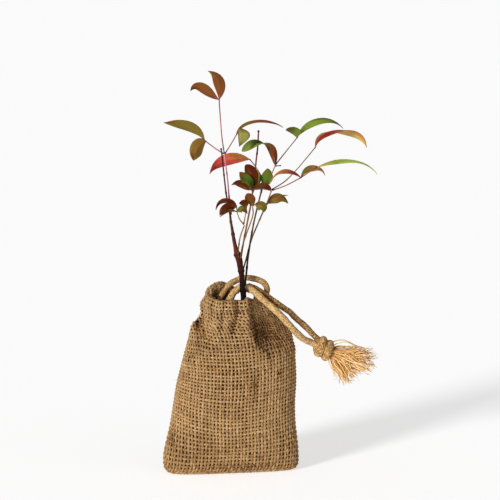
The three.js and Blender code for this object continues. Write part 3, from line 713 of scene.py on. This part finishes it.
# Loose fibres that stand off the yarns, one in thirty twice as long.
HAIRS, HAIR_STEPS = 620, 5
rng = np.random.default_rng(31)
hairs = []
for i in range(HAIRS):
    share, rise = rng.uniform(0, 1), rng.uniform(1, RIM_HEIGHT + 2)
    p, out = cloth_and_out(np.array([share]), np.array([rise]))
    aim = unit(out[0] * rng.uniform(0.5, 1.0) + rng.normal(0, 0.8, 3))
    bend = rng.normal(0, 1, 3) * 0.5
    reach = rng.uniform(1.6, 4.6) * (2 if i % 30 == 0 else 1)
    t = np.linspace(0, 1, HAIR_STEPS)[:, None]
    path = p[0] + out[0] * 0.5 + aim * t * reach * 0.6 + bend * t**2 * reach * 0.5
    path[:, 2] = np.maximum(path[:, 2], 0.3)
    side, front = sides_of(path)
    fat = np.linspace(0.07, 0.035, HAIR_STEPS) * MM
    hairs.append(tube(path * MM, side, front, fat, fat, 3, rng.uniform(0.1, 0.5)))
fuzz = joined("burlap_loose_fibres", hairs, BURLAP)
for piece in (warps, wefts, fuzz):
    stands_for(piece, "burlap_bag")

# ---- Root ball
# Damp dark potting soil bound by roots, filling the bag to two centimetres under its mouth. It is
# one lump, pressed against the cloth so that it shows dark through the weave, and crumbly on top.
SOIL_TOP, SOIL_FOOT, SOIL_REACH = 110, 2.2, 112
SOIL_INSET, SOIL_SHOULDER, LUMP_DEEP = 2.5, 1.6, 0.352
SOIL_ROUND, SOIL_RINGS, SOIL_CAP, LUMPS = 120, 44, 16, 24
soil_material, soil_shader = new_material("damp_soil", 1.0)
crumbs = noise(soil_material, places(soil_material, "Object"), 620.0, 6.0)
soil_stops = [(0.3, linear(72, 36, 11)), (0.55, linear(120, 68, 25)), (0.75, linear(156, 100, 48))]
soil_colour = ramp(soil_material, crumbs, soil_stops)
finished(soil_material, soil_shader, soil_colour, crumbs, 0.9, 1.2 * MM)


def from_bmesh(bm, name, material):
    """Makes a smooth-shaded piece of a bmesh."""
    mesh = bpy.data.meshes.new(name)
    bm.to_mesh(mesh)
    bm.free()
    mesh.shade_smooth()
    mesh.materials.append(material)
    return put_down(name, mesh)


# An upright tube whose ends are closed by rings that shrink towards the middle.
bm = bmesh.new()
bmesh.ops.create_cone(bm, cap_ends=False, segments=SOIL_ROUND, radius1=1, radius2=1, depth=1)
upright = [e for e in bm.edges if abs(e.verts[0].co.z - e.verts[1].co.z) > 0.5]
bmesh.ops.subdivide_edges(bm, edges=upright, cuts=SOIL_RINGS - 1)
top_ring = [e for e in bm.edges if all(abs(v.co.z - 0.5) < 1e-6 for v in e.verts)]
low_ring = [e for e in bm.edges if all(abs(v.co.z + 0.5) < 1e-6 for v in e.verts)]
for edges in (top_ring, low_ring):
    for k in range(SOIL_CAP):
        shrink = 1 - (k + 1) / (SOIL_CAP + 1)
        grown = bmesh.ops.extrude_edge_only(bm, edges=edges)["geom"]
        verts = [v for v in grown if isinstance(v, bmesh.types.BMVert)]
        edges = [e for e in grown if isinstance(e, bmesh.types.BMEdge)]
        for v in verts:
            far = math.hypot(v.co.x, v.co.y)
            v.co.x, v.co.y = v.co.x / far * shrink, v.co.y / far * shrink
    bmesh.ops.contextual_create(bm, geom=edges)
rng = np.random.default_rng(41)
waves = rng.normal(0, 1, (LUMPS, 3)) * np.geomspace(0.12, 1.1, LUMPS)[:, None]
phases = rng.uniform(0, 2 * np.pi, LUMPS)
co = np.array([v.co for v in bm.verts])
share = np.mod(np.arctan2(co[:, 1], co[:, 0]) / (2 * np.pi), 1)
near = np.clip(np.hypot(co[:, 0], co[:, 1]), 0, 1)
skin = cloth(share, np.clip((co[:, 2] + 0.5) * SOIL_REACH, 2, SOIL_REACH), SOIL_INSET)
middle = np.array([4.0, 0.0])
at = np.column_stack([middle + (skin[:, :2] - middle) * near[:, None], skin[:, 2]])
capped = near < 0.999
flat_ends = np.where(co[:, 2] > 0, SOIL_TOP - 0.4, SOIL_FOOT)
at[:, 2] = np.where(capped, flat_ends, np.minimum(at[:, 2], SOIL_TOP - SOIL_SHOULDER))
lumps = np.abs(np.cos(at @ waves.T + phases).sum(1)) * LUMP_DEEP
at[:, 2] = np.where(capped & (co[:, 2] > 0), at[:, 2] - lumps, at[:, 2])
for v, p in zip(bm.verts, at):
    v.co = p * MM
bmesh.ops.recalc_face_normals(bm, faces=bm.faces)
stands_for(from_bmesh(bm, "root_ball_soil", soil_material), "root_ball")

# ---- Stems
# Slim cane-like stems: a ridged, nearly black trunk wrapped in red-brown leaf sheaths at its fork,
# two topped stems with a healed knob, and thinner twigs with a dark ring at every node.
SOIL_FACE = 110.3
# Each stem: its path, its thickness along it, how far up its nodes lie, and its colours.
STEMS = {
    "main_stem": ([
        (9.3, 0.2, SOIL_FACE), (9.2, 0.1, 118), (8.8, -0.3, 132), (7.5, -1, 147.4),
        (6.3, -1.5, 155), (4.3, -2, 161.5), (2.8, -2, 167.4), (1.3, -2, 176.1),
        (-0.1, -2, 184.9), (-0.9, -2, 191.4),
    ], [3.4, 1.9, 1.7, 1.75, 1.8, 2.1, 2.3, 1.4, 1.1, 0.85, 0.7], [24, 38, 51, 66, 75], [
        (0, 20, 12, 9), (0.36, 25, 13, 10), (0.54, 54, 23, 17), (0.66, 82, 38, 27),
        (0.8, 68, 34, 29), (1, 82, 44, 42),
    ]),
    "side_stem": ([
        (13, 4.6, SOIL_FACE), (11.7, 3.4, 122), (10.8, 2.4, 136), (11.8, 2.2, 146.2),
        (12.9, 2, 157.1), (16.1, 3, 176.7), (20.1, 3, 194.8), (23.3, 3, 207.1),
    ], [0.95, 0.8, 0.7, 0.65, 0.6, 0.6], [40, 66, 86, 96], [
        (0, 24, 15, 13), (0.5, 52, 34, 30), (1, 92, 68, 46),
    ]),
    "cut_stem_left": ([
        (-1, -2, 191.9), (-3.1, -3, 201.7), (-4.8, -4, 214), (-6.2, -5, 227), (-7.6, -6, 237.9),
    ], [0.65, 0.55, 0.5], [4, 14, 27], [
        (0, 62, 36, 34), (0.5, 72, 50, 40), (0.97, 84, 66, 50), (1, 26, 18, 16),
    ]),
    "cut_stem_tall": ([
        (7.2, -0.4, 156), (9.7, 1, 169.8), (13.2, 1, 187.9), (15.2, 1, 198.8),
        (17.7, 2, 217.4), (19.3, 4, 228.8), (20.6, 6, 238), (21.6, 9, 249.3),
    ], [0.6, 0.65, 0.6, 0.55], [18, 41, 62, 78], [
        (0, 88, 60, 40), (0.4, 124, 84, 52), (0.7, 132, 66, 58), (0.97, 132, 58, 60),
        (1, 30, 16, 16),
    ]),
    "right_stem": ([
        (8.2, 0.3, 144.5), (9.6, 3.4, 148.5), (11.9, 5.5, 155.2), (16, 6.5, 169.6),
        (21.8, 5, 184.4), (27.4, 3, 198), (29.9, 2, 205.7),
    ], [0.6, 0.55, 0.5], [20, 44], [
        (0, 62, 44, 28), (0.5, 112, 88, 50), (1, 136, 100, 62),
    ]),
    "top_stem": ([
        (0.4, -0.8, 189.3), (-0.9, -0.5, 199.9), (-2.1, 0.5, 214.3), (-4.1, 2, 232),
    ], [0.55, 0.5, 0.45], [13, 30], [(0, 128, 68, 82), (1, 184, 114, 132)]),
    "inner_stem_left": ([
        (5, -3.8, 158.6), (5.1, -5, 165.6), (6.2, -6, 173.7), (8.9, -8, 182.4),
    ], [0.5, 0.45], [10], [(0, 80, 62, 36), (1, 112, 96, 54)]),
    "inner_stem_right": ([
        (6.6, -3.4, 157.6), (7.8, -4.5, 166.2), (10.3, -5, 174.2), (15.4, -6.5, 190.2),
        (15, -7, 195.2),
    ], [0.5, 0.45], [17], [(0, 84, 60, 36), (1, 126, 92, 56)]),
    "upper_right_stem": ([
        (23.6, 3, 208), (26.2, 3, 211), (29.1, 2, 215.8), (32.3, 0, 224),
    ], [0.5, 0.4], [9], [(0, 112, 72, 54), (1, 152, 108, 82)]),
}
KNOB_RADIUS = {"cut_stem_left": 0.85, "cut_stem_tall": 0.9}
STEM_RING = 0.4 * MM
NODE_LONG, NODE_SWELL, NODE_DARK = 0.9, 0.28, 0.4


def blended(material, share, one, two, kind="MIX"):
    """Two colours mixed, or multiplied by each other."""
    inputs = {0: share, 6: one, 7: two}
    node = add_node(material, "ShaderNodeMix", inputs, data_type="RGBA", blend_type=kind)
    return node.outputs[2]


def bark_finish(name, stops, scale, roughness):
    """Thin bark or stalk skin: its colour changes from the foot up, streaked along its length."""
    material, shader = new_material(name, roughness, 0.07)
    split = add_node(material, "ShaderNodeSeparateXYZ", {0: places(material, "UV")})
    streaks = noise(material, laid_along(material, (scale, 7, 1)), 1.0, 4.0)
    waver = reckon(material, "MULTIPLY_ADD", streaks, 0.16, split.outputs["X"])
    stops = [(p + 0.08 * (0 < p < 1), linear(*c)) for p, *c in stops]
    shade = reckon(material, "MULTIPLY_ADD", streaks, 0.7, tint_of(material))
    shades = ramp(material, shade, [(0, (0.2, 0.2, 0.2, 1)), (1, (1.35, 1.3, 1.3, 1))])
    colour = blended(material, 1.0, ramp(material, waver, stops), shades, "MULTIPLY")
    return finished(material, shader, colour, streaks, 0.5, 0.2 * MM)


def cane(points, radii, nodes, seed, ridge, sides=12, knob=0.0):
    """A tapering stem with shallow lengthwise ridges and a swollen dark ring at each node."""
    rng = np.random.default_rng(seed)
    line = smooth_line(np.array(points, float) * MM, STEM_RING)
    share = np.linspace(0, 1, len(line))
    far = share * length_of(line) / MM
    thick = np.interp(share, np.linspace(0, 1, len(radii)), radii)
    shade = np.full(len(line), 0.5) + wander(rng, far, 0.08, 9)
    for at in nodes:
        ring = hump(far - at, NODE_LONG)
        thick = thick * (1 + NODE_SWELL * ring)
        shade -= NODE_DARK * ring
    if knob:
        ball = np.clip(1 - ((far - far[-1] + knob) / knob) ** 2, 0, 1) ** 0.5
        healed = far > far[-1] - 2 * knob
        thick = np.where(healed, np.maximum(ball * knob, 0.12), thick)
        shade -= 0.3 * healed
    turn = angles_round(sides) + wander(rng, far, 0.5, 30)[:, None]
    bulge = 1 + ridge * np.sin(5 * turn) + 0.5 * ridge * np.sin(8 * turn + 1)
    side, front = sides_of(line)
    part = tube(line, side, front, thick * MM, thick * MM, sides, shade, bulge)
    part[3][..., 0] /= length_of(line)
    return part


for k, (name, (points, radii, nodes, stops)) in enumerate(STEMS.items()):
    ridge, sides, streak = (0.09, 20, 60) if name == "main_stem" else (0.05, 12, 40)
    stem = cane(points, radii, nodes, 500 + k, ridge, sides, KNOB_RADIUS.get(name, 0))
    skin = bark_finish(name + "_skin", stops, streak, 0.65)
    stands_for(joined(name + "_bark", [stem], skin), name)

# ---- Leaflets
# Leathery leaflets on thread-like stalks, a few to a spray: each folds a little along its midrib,
# turns on its way to a drawn-out tip, and runs from green through olive and orange to dark red.
GREEN, BRIGHT, DARK_GREEN, PALE = (86, 108, 34), (126, 146, 50), (60, 78, 20), (172, 188, 96)
OLIVE, SAGE, DULL, YELLOW = (110, 94, 34), (112, 126, 50), (160, 156, 84), (184, 160, 80)
TAN, BROWN, RUST, DARK_RED = (150, 114, 50), (110, 64, 26), (116, 66, 26), (88, 34, 10)
RED, CORAL, PINK = (134, 42, 30), (206, 78, 68), (150, 72, 58)
ORANGE, SALMON = (188, 122, 62), (202, 108, 74)
# How far along the two bends of an even arch are.
ARCH = (0.28, 0.74)
# Each spray: the paths of its stalks, then its leaflets: name, foot, tip, how far along and how
# high its two bends are, width, turn at foot and tip, colours of its two halves from foot to tip.
SPRAYS = {
    "leaves_top": ([[(-4.2, 2.1, 232.9), (-5.6, 4, 244.2), (-6.4, 6, 257), (-7.2, 8, 271.8)]], [
        ("hooked_low", (-7.2, 8, 271.4), (-26.9, 16, 277.4), (0.25, 0.93), (0.7, 9.4), 8.5, (35, 35),
         [BROWN, BROWN, RUST, BROWN], [DARK_RED, BROWN, BROWN, DARK_RED]),
        ("hooked_high", (-7.2, 8, 271.4), (-16.2, -1, 292.3), ARCH, (4.2, 7.1), 8.5, (25, 25),
         [RUST, BROWN, BROWN, RUST], [RED, RUST, RUST, OLIVE]),
    ]),
    "leaves_left": ([[(-4.8, 2.8, 233.1), (-10.5, 6, 236.8), (-17.6, 10, 242.3)]], [
        ("far_left", (-17.4, 10, 242.1), (-46.6, 15, 254.9), ARCH, (8.6, 2.4), 8.6, (30, 30),
         [OLIVE, OLIVE, OLIVE, BROWN], 4 * [OLIVE]),
        ("left_front", (-16.6, 9.5, 241.7), (-27.1, -4, 229), ARCH, (3.8, 2.4), 11, (10, 15),
         [TAN, TAN, TAN, RUST], 4 * [TAN]),
    ]),
    "leaves_middle": ([[(-3.8, 1.2, 233.2), (0, -3, 240.4), (4.8, -9.2, 250.4)]], [
        ("arched", (3.1, -7.4, 247), (37.4, -4, 251.9), (0.14, 0.77), (12.7, 8.8), 7, (75, 80),
         [BROWN, OLIVE, PINK, RED], [BROWN, BROWN, PINK, PINK]),
        ("triangle", (4.9, -9, 252.4), (4.2, -16, 239.4), ARCH, (0, 0), 9.5, (0, 10),
         4 * [OLIVE], [OLIVE, DULL, DULL, OLIVE]),
    ]),
    "leaf_red": ([[(23.2, 4.2, 207.6), (23.7, 7, 214.7), (20.5, 10, 221.4), (15.6, 13, 228.1)]], [
        ("red", (16.2, 12.8, 227.7), (-13.9, 11, 217.7), ARCH, (5.3, 8.7), 9.5, (20, 15),
         [ORANGE, ORANGE, CORAL, RED], [ORANGE, CORAL, CORAL, RED]),
    ]),
    "leaf_twisted": ([[(32.3, 0, 224), (36.5, -1, 224.3)]], [
        ("twisted", (32.3, 0, 224.4), (7.6, -5, 235.1), (0.346, 0.857), (19.5, 9.7), 9.2, (0, 185),
         [DARK_RED, BROWN, SAGE, SAGE], [BROWN, DARK_RED, GREEN, SAGE]),
    ]),
    "leaves_green": ([[(32.9, 0.6, 225), (41.1, 5, 233.9), (50.7, 11, 244)]], [
        ("green_arched", (50.4, 10.9, 243.7), (86.2, 22, 248.9), (0.24, 0.79), (11.3, 13), 7.5, (40, 75),
         [GREEN, BRIGHT, BRIGHT, OLIVE], [GREEN, BRIGHT, GREEN, OLIVE]),
        ("green_small", (50.5, 11, 243.8), (40.4, 2, 249.5), (0.3, 0.85), (0.8, 0.8), 7, (15, 40),
         [BRIGHT, BRIGHT, GREEN, RUST], [GREEN, OLIVE, BROWN, BROWN]),
    ]),
    "leaf_salmon": (
        [[(30.3, 2.5, 206.6), (40.7, 7, 212.1), (50.4, 12, 220.3), (57.5, 15, 227.7), (65.1, 18, 235.8)]], [
        ("salmon", (65, 18, 235.4), (104.3, 24, 234.5), (-0.01, 0.91), (17.0, 17.0), 12, (50, 150),
         [RED, RED, SALMON, ORANGE], [RED, YELLOW, YELLOW, YELLOW]),
    ]),
    "leaves_right": (
        [
            [(30.4, 1, 206.2), (39.1, -3, 209.8), (49.8, -9, 216.2)],
            [(49.4, -8.8, 216), (55, -12, 220.2), (60.5, -14.6, 224.2)],
        ], [
        ("right_upper", (49.7, -9, 216.1), (68.3, -3, 216.9), (0.13, 0.87), (7.9, 10), 6.5, (60, 55),
         [OLIVE, OLIVE, ORANGE, ORANGE], [GREEN, OLIVE, ORANGE, ORANGE]),
        ("right_long", (59.7, -14.2, 223.6), (101.9, -25, 219.6), ARCH, (7.6, 13.1), 7, (72, 76),
         [YELLOW, BRIGHT, PALE, PALE], [YELLOW, YELLOW, PALE, PALE]),
        ("right_back", (49.8, -9, 216.2), (25.6, -18, 212.5), ARCH, (6.4, 10.4), 6.6, (55, 70),
         [DARK_RED, RED, ORANGE, ORANGE], [RED, RED, ORANGE, ORANGE]),
    ]),
    "leaf_dark": ([[(29.6, 0.8, 205.9), (27.2, -1.2, 207.6)]], [
        ("dark", (29.2, 0.4, 206.2), (13.7, -8, 207.7), ARCH, (2.4, 3.0), 9, (52, 52),
         [DARK_RED, DARK_RED, BROWN, DARK_RED], [DARK_RED, BROWN, BROWN, BROWN]),
    ]),
    "leaf_bright": ([[(22.4, 2.4, 206), (23.8, 2.4, 209.4)]], [
        ("bright", (23.2, 2, 207.8), (25.8, -9, 223.1), (0.5, 0.5), (-1.7, -1.7), 8.5, (10, 15),
         4 * [GREEN], [GREEN, GREEN, GREEN, OLIVE]),
    ]),
    "leaves_centre": ([[(16, 0.2, 205.6), (14.6, -2.6, 207.6)]], [
        ("centre_high", (14.9, -2.2, 207.1), (9.2, -9, 225.6), ARCH, (3.2, 4.5), 9, (10, 10),
         [BROWN, DARK_RED, DARK_RED, DARK_RED], [BROWN, DARK_RED, BROWN, DARK_RED]),
        ("centre_green", (14.9, -2.2, 207.1), (4.9, -12, 221.1), ARCH, (1.7, 0.9), 8, (15, 20),
         [DARK_GREEN, DARK_GREEN, GREEN, BROWN], [DARK_GREEN, GREEN, DARK_GREEN, BROWN]),
        ("centre_low", (14.9, -2.2, 207.1), (-0.1, -6, 211.1), ARCH, (0.1, 5.4), 7.5, (35, 40),
         [BROWN, DARK_RED, DARK_RED, DARK_RED], [DARK_RED, BROWN, DARK_RED, BROWN]),
    ]),
    "leaf_behind": ([[(16.2, 1, 204.4), (18.8, 6.2, 208.2)]], [
        ("behind", (18.2, 5.4, 207.4), (19.7, 11, 220.9), (0.5, 0.5), (-2.4, -2), 6.5, (50, 50),
         [GREEN, GREEN, GREEN, OLIVE], [GREEN, DARK_GREEN, GREEN, OLIVE]),
    ]),
    "leaves_low_left": (
        [
            [(8.6, -8, 182.9), (5.4, -8, 186.9), (3.9, -7, 191.9), (3.2, -7, 196.9)],
            [(8.5, -7.9, 183.2), (9.6, -9, 190.6), (10.3, -9, 195.9)],
        ], [
        ("low_back", (3.2, -7, 196.6), (-11.4, -6, 193.4), ARCH, (5.2, 7.2), 7.5, (56, 60),
         [DARK_RED, DARK_RED, BROWN, DARK_RED], [BROWN, DARK_RED, DARK_RED, DARK_RED]),
        ("low_front", (3.2, -7, 195.4), (-9.4, -13, 190.4), ARCH, (2.6, 3.6), 7.5, (18, 22),
         [BROWN, DARK_RED, DARK_RED, BROWN], [DARK_RED, DARK_RED, BROWN, DARK_RED]),
        ("low_thin", (3.8, -7, 192), (-9.1, -9, 188.8), (0.4, 0.5), (2.8, 1.8), 7, (68, 68),
         [DARK_RED, BROWN, DARK_RED, BROWN], [DARK_RED, DARK_RED, BROWN, DARK_RED]),
        ("low_green", (3.8, -7, 192), (10.2, -14, 191.3), (0.4, 0.6), (3.9, 4), 5.5, (35, 40),
         [GREEN, OLIVE, BROWN, BROWN], [DARK_GREEN, GREEN, OLIVE, BROWN]),
        ("low_small", (10.3, -9, 195.7), (4.4, -13, 198.7), (0.4, 0.6), (2.1, 2.3), 6, (30, 30),
         [BROWN, DARK_RED, DARK_RED, DARK_RED], [DARK_RED, BROWN, DARK_RED, BROWN]),
    ]),
    "leaves_low_centre": ([[(14.8, -7.2, 195.8), (16.6, -7.6, 197.2), (18.4, -8.2, 197.4)]], [
        ("mid_upright", (15.1, -7.3, 196), (10.3, -12, 205.7), (0.4, 0.6), (0.4, 0.4), 7.5, (20, 20),
         [OLIVE, BROWN, BROWN, BROWN], [OLIVE, OLIVE, BROWN, BROWN]),
        ("mid_drooping", (16.6, -7.6, 197.2), (21.8, -12, 191.8), (0.4, 0.8), (3, 4), 7.5, (15, 20),
         [OLIVE, OLIVE, GREEN, OLIVE], [BROWN, OLIVE, OLIVE, OLIVE]),
    ]),
    "leaves_low_right": ([[(26.8, 3.4, 195.6), (28, 3, 197.4), (30.5, 4, 198.6)]], [
        ("right_olive", (27.4, 3.2, 196.4), (41.5, -2, 196.9), ARCH, (5, 6.6), 8, (40, 40),
         [OLIVE, OLIVE, RUST, OLIVE], [OLIVE, RUST, OLIVE, BROWN]),
        ("right_pale", (29, 3.6, 198), (43.6, 11, 201.4), (0.44, 0.6), (1.6, 2.2), 5, (70, 75),
         [PALE, PALE, YELLOW, PALE], [GREEN, PALE, PALE, PALE]),
    ]),
}
LEAF_LONG, LEAF_ACROSS = 26, 10
# Outlines: how near the foot the widest part lies, how fine the ends are, share of each half.
FORMS = {
    "lance": (0.92, 1.15, 1, 1),
    "oval": (0.85, 0.85, 1, 1),
    "blunt": (1.15, 0.62, 1, 1),
    "hooked": (1.12, 1.0, 1, 1),
    "twisted": (1.0, 0.6, 1, 1),
    "triangle": (0.6, 1.2, 0.15, 1.75),
    "flat_topped": (0.5, 0.45, 1.5, 0.2),
}
FORM_OF = {
    "hooked_low": "hooked", "left_front": "oval", "triangle": "triangle", "twisted": "twisted",
    "green_small": "flat_topped",
    "dark": "oval", "bright": "blunt", "centre_high": "blunt", "centre_green": "oval",
    "behind": "blunt", "low_front": "oval", "low_back": "oval", "mid_upright": "blunt",
    "mid_drooping": "oval", "right_olive": "oval", "low_small": "oval", "low_green": "oval",
}
LEAF_KEEL, LEAF_THICK, LEAF_GROOVE = 0.22, 0.45, 0.12
COLOURED_AT = (0.2, 0.45, 0.75, 1.0)
VEIN_WAVES = 62.0


def fade(material, value, low, high, first, last):
    """A value that runs from the first number to the last between two others."""
    inputs = {"Value": value, "From Min": low, "From Max": high, "To Min": first, "To Max": last}
    return add_node(material, "ShaderNodeMapRange", inputs).outputs[0]


def leaf_finish(name, left, right):
    """Leaf skin: a row of colours along each half, a pale midrib, faint side veins, mottling."""
    material, shader = new_material(name, 0.5, 0.06)
    split = add_node(material, "ShaderNodeSeparateXYZ", {0: places(material, "UV")})
    across, along = split.outputs["X"], split.outputs["Y"]
    mottle = noise(material, places(material, "Object"), 420.0, 3.0)
    waver = reckon(material, "MULTIPLY_ADD", mottle, 0.26, along)
    halves = [
        ramp(material, waver, [(p, linear(*c)) for p, c in zip(COLOURED_AT, colours)])
        for colours in (left, right)
    ]
    both = blended(material, fade(material, across, 0.44, 0.56, 0, 1), *halves)
    off = reckon(material, "ABSOLUTE", reckon(material, "SUBTRACT", across, 0.5))
    sweep = reckon(material, "MULTIPLY_ADD", off, -0.45, along)
    vein = reckon(material, "SINE", reckon(material, "MULTIPLY", sweep, VEIN_WAVES))
    lines = reckon(material, "MULTIPLY_ADD", vein, 0.18, fade(material, off, 0, 0.05, 1, 0))
    shades = ramp(material, lines, [(0, (0.92, 0.92, 0.92, 1)), (1, (1.2, 1.12, 1.1, 1))])
    colour = blended(material, 1.0, both, shades, "MULTIPLY")
    return finished(material, shader, colour, lines, 0.35, 0.3 * MM)


def curve(knots, t):
    """A place on the curve that four knots draw."""
    weights = [(1 - t) ** 3, 3 * t * (1 - t) ** 2, 3 * t * t * (1 - t), t**3]
    return sum(w * p for w, p in zip(weights, knots))


def leaflet(name, skin, base, tip, along, rise, wide, roll, form, seed):
    """A blade on its curved midrib: lance-shaped, keeled, waved at its margin and turned."""
    rng = np.random.default_rng(seed)
    base, tip = np.array(base, float), np.array(tip, float)
    chord = tip - base
    up = unit(np.array([-chord[2], 0, chord[0]]))
    up = -up if up[2] < 0 else up
    knots = [base, *(base + chord * a + up * r for a, r in zip(along, rise)), tip]
    bm = bmesh.new()
    bm.loops.layers.uv.new("UVMap")
    bmesh.ops.create_grid(bm, x_segments=LEAF_ACROSS, y_segments=LEAF_LONG, size=1, calc_uvs=True)
    phase, waviness = rng.uniform(0, 6.28), rng.uniform(0.25, 0.6)
    for v in bm.verts:
        across, t = v.co.x, (v.co.y + 1) / 2
        weights = [3 * (1 - t) ** 2, 6 * t * (1 - t), 3 * t * t]
        ahead = unit(sum(w * (b - a) for w, a, b in zip(weights, knots, knots[1:])))
        depth = unit(np.array([0, 1, 0]) - ahead * ahead[1])
        side = np.cross(ahead, depth)
        turn = math.radians(roll[0] + (roll[1] - roll[0]) * t)
        side = side * math.cos(turn) + depth * math.sin(turn)
        face = np.cross(side, ahead)
        belly, fine, left, right = FORMS[form]
        outline = max(math.sin(math.pi * min(t, 0.9999) ** belly), 0) ** fine
        half = max(wide / 2 * outline * (left if across < 0 else right), 0.12)
        wave = waviness * math.sin(9 * t + phase + 2 * across) * abs(across) ** 2 * outline
        fold = abs(across) ** 1.3 * half * LEAF_KEEL + wave * 0.6
        groove = -LEAF_GROOVE * hump(across, 0.1) * outline
        v.co = (curve(knots, t) + side * across * half + face * (fold + groove)) * MM
    blade = from_bmesh(bm, "leaflet_" + name, skin)
    body = blade.modifiers.new("thickness", "SOLIDIFY")
    body.thickness = LEAF_THICK * MM
    body.offset = 0
    return blade, knots


RED_STOPS = [(0, 84, 38, 42), (0.5, 148, 90, 86), (1, 84, 42, 42)]
OLIVE_STOPS = [(0, 80, 58, 38), (0.5, 138, 114, 70), (1, 80, 54, 38)]
RED_STALK = bark_finish("red_stalk_skin", RED_STOPS, 30, 0.55)
OLIVE_STALK = bark_finish("olive_stalk_skin", OLIVE_STOPS, 30, 0.55)
OLIVE_STALKED = ("leaves_green", "leaf_salmon", "leaves_low_left", "leaves_low_right")
for k, (node, (stalks, leaves)) in enumerate(SPRAYS.items()):
    parts = []
    for points in stalks:
        reach = length_of(smooth_line(np.array(points, float), 0.4))
        parts.append(cane(points, [0.44, 0.38], [0.5, reach - 0.3], 700 + k, 0.04, 8))
    for m, (name, base, tip, along, rise, wide, roll, left, right) in enumerate(leaves):
        skin, form = leaf_finish("leaf_" + name, left, right), FORM_OF.get(name, "lance")
        seed = 10 * k + m
        blade, knots = leaflet(name, skin, base, tip, along, rise, wide, roll, form, 900 + seed)
        stands_for(blade, node)
        midrib = curve(knots, np.linspace(0, 0.3, 8)[:, None])
        parts.append(cane(midrib, [0.4, 0.3, 0.12], [], 800 + seed, 0.02, 6))
    stalk = joined(node + "_stalks", parts, OLIVE_STALK if node in OLIVE_STALKED else RED_STALK)
    stands_for(stalk, node)

# ---- Studio
# A wide pale floor that glows a little, a surround that the camera sees as almost white, a soft
# sun low on the left of the camera and a much weaker one on its right.
AMBIENT, BACKDROP = 0.27, 0.96
FLOOR_GREY, FLOOR_GLOW, WHITE = (0.75, 0.75, 0.75, 1), 0.54, (1, 1, 1, 1)
floor_white, floor_shader = new_material("floor_white", 0.9)
floor_shader.inputs["Base Color"].default_value = FLOOR_GREY
floor_shader.inputs["Emission Color"].default_value = WHITE
floor_shader.inputs["Emission Strength"].default_value = FLOOR_GLOW
bm = bmesh.new()
bmesh.ops.create_grid(bm, x_segments=1, y_segments=1, size=8)
floor = from_bmesh(bm, "floor", floor_white)
world = bpy.data.worlds.new("white_surround")
world.use_nodes = True
nodes = world.node_tree.nodes
dim, bright = nodes["Background"], nodes.new("ShaderNodeBackground")
for glow, strength in ((dim, AMBIENT), (bright, BACKDROP)):
    glow.inputs["Color"].default_value = WHITE
    glow.inputs["Strength"].default_value = strength
seen, either = nodes.new("ShaderNodeLightPath"), nodes.new("ShaderNodeMixShader")
for one, two in (
    (seen.outputs["Is Camera Ray"], either.inputs[0]),
    (dim.outputs[0], either.inputs[1]),
    (bright.outputs[0], either.inputs[2]),
    (either.outputs[0], nodes["World Output"].inputs["Surface"]),
):
    world.node_tree.links.new(one, two)
bpy.context.scene.world = world
bpy.context.scene.view_settings.view_transform = "Standard"
for name, place, spread, power in (
    ("key_light", (-1.2, -1.05, 0.42), 12, 3.4),
    ("fill_light", (1.1, -1.2, 0.5), 60, 0.2),
):
    lamp = bpy.data.lights.new(name, "SUN")
    lamp.angle, lamp.energy = math.radians(spread), power
    light = put_down(name, lamp)
    light.location = place
    light.rotation_euler = Vector(place).to_track_quat("Z", "Y").to_euler()

bpy.context.view_layer.update()
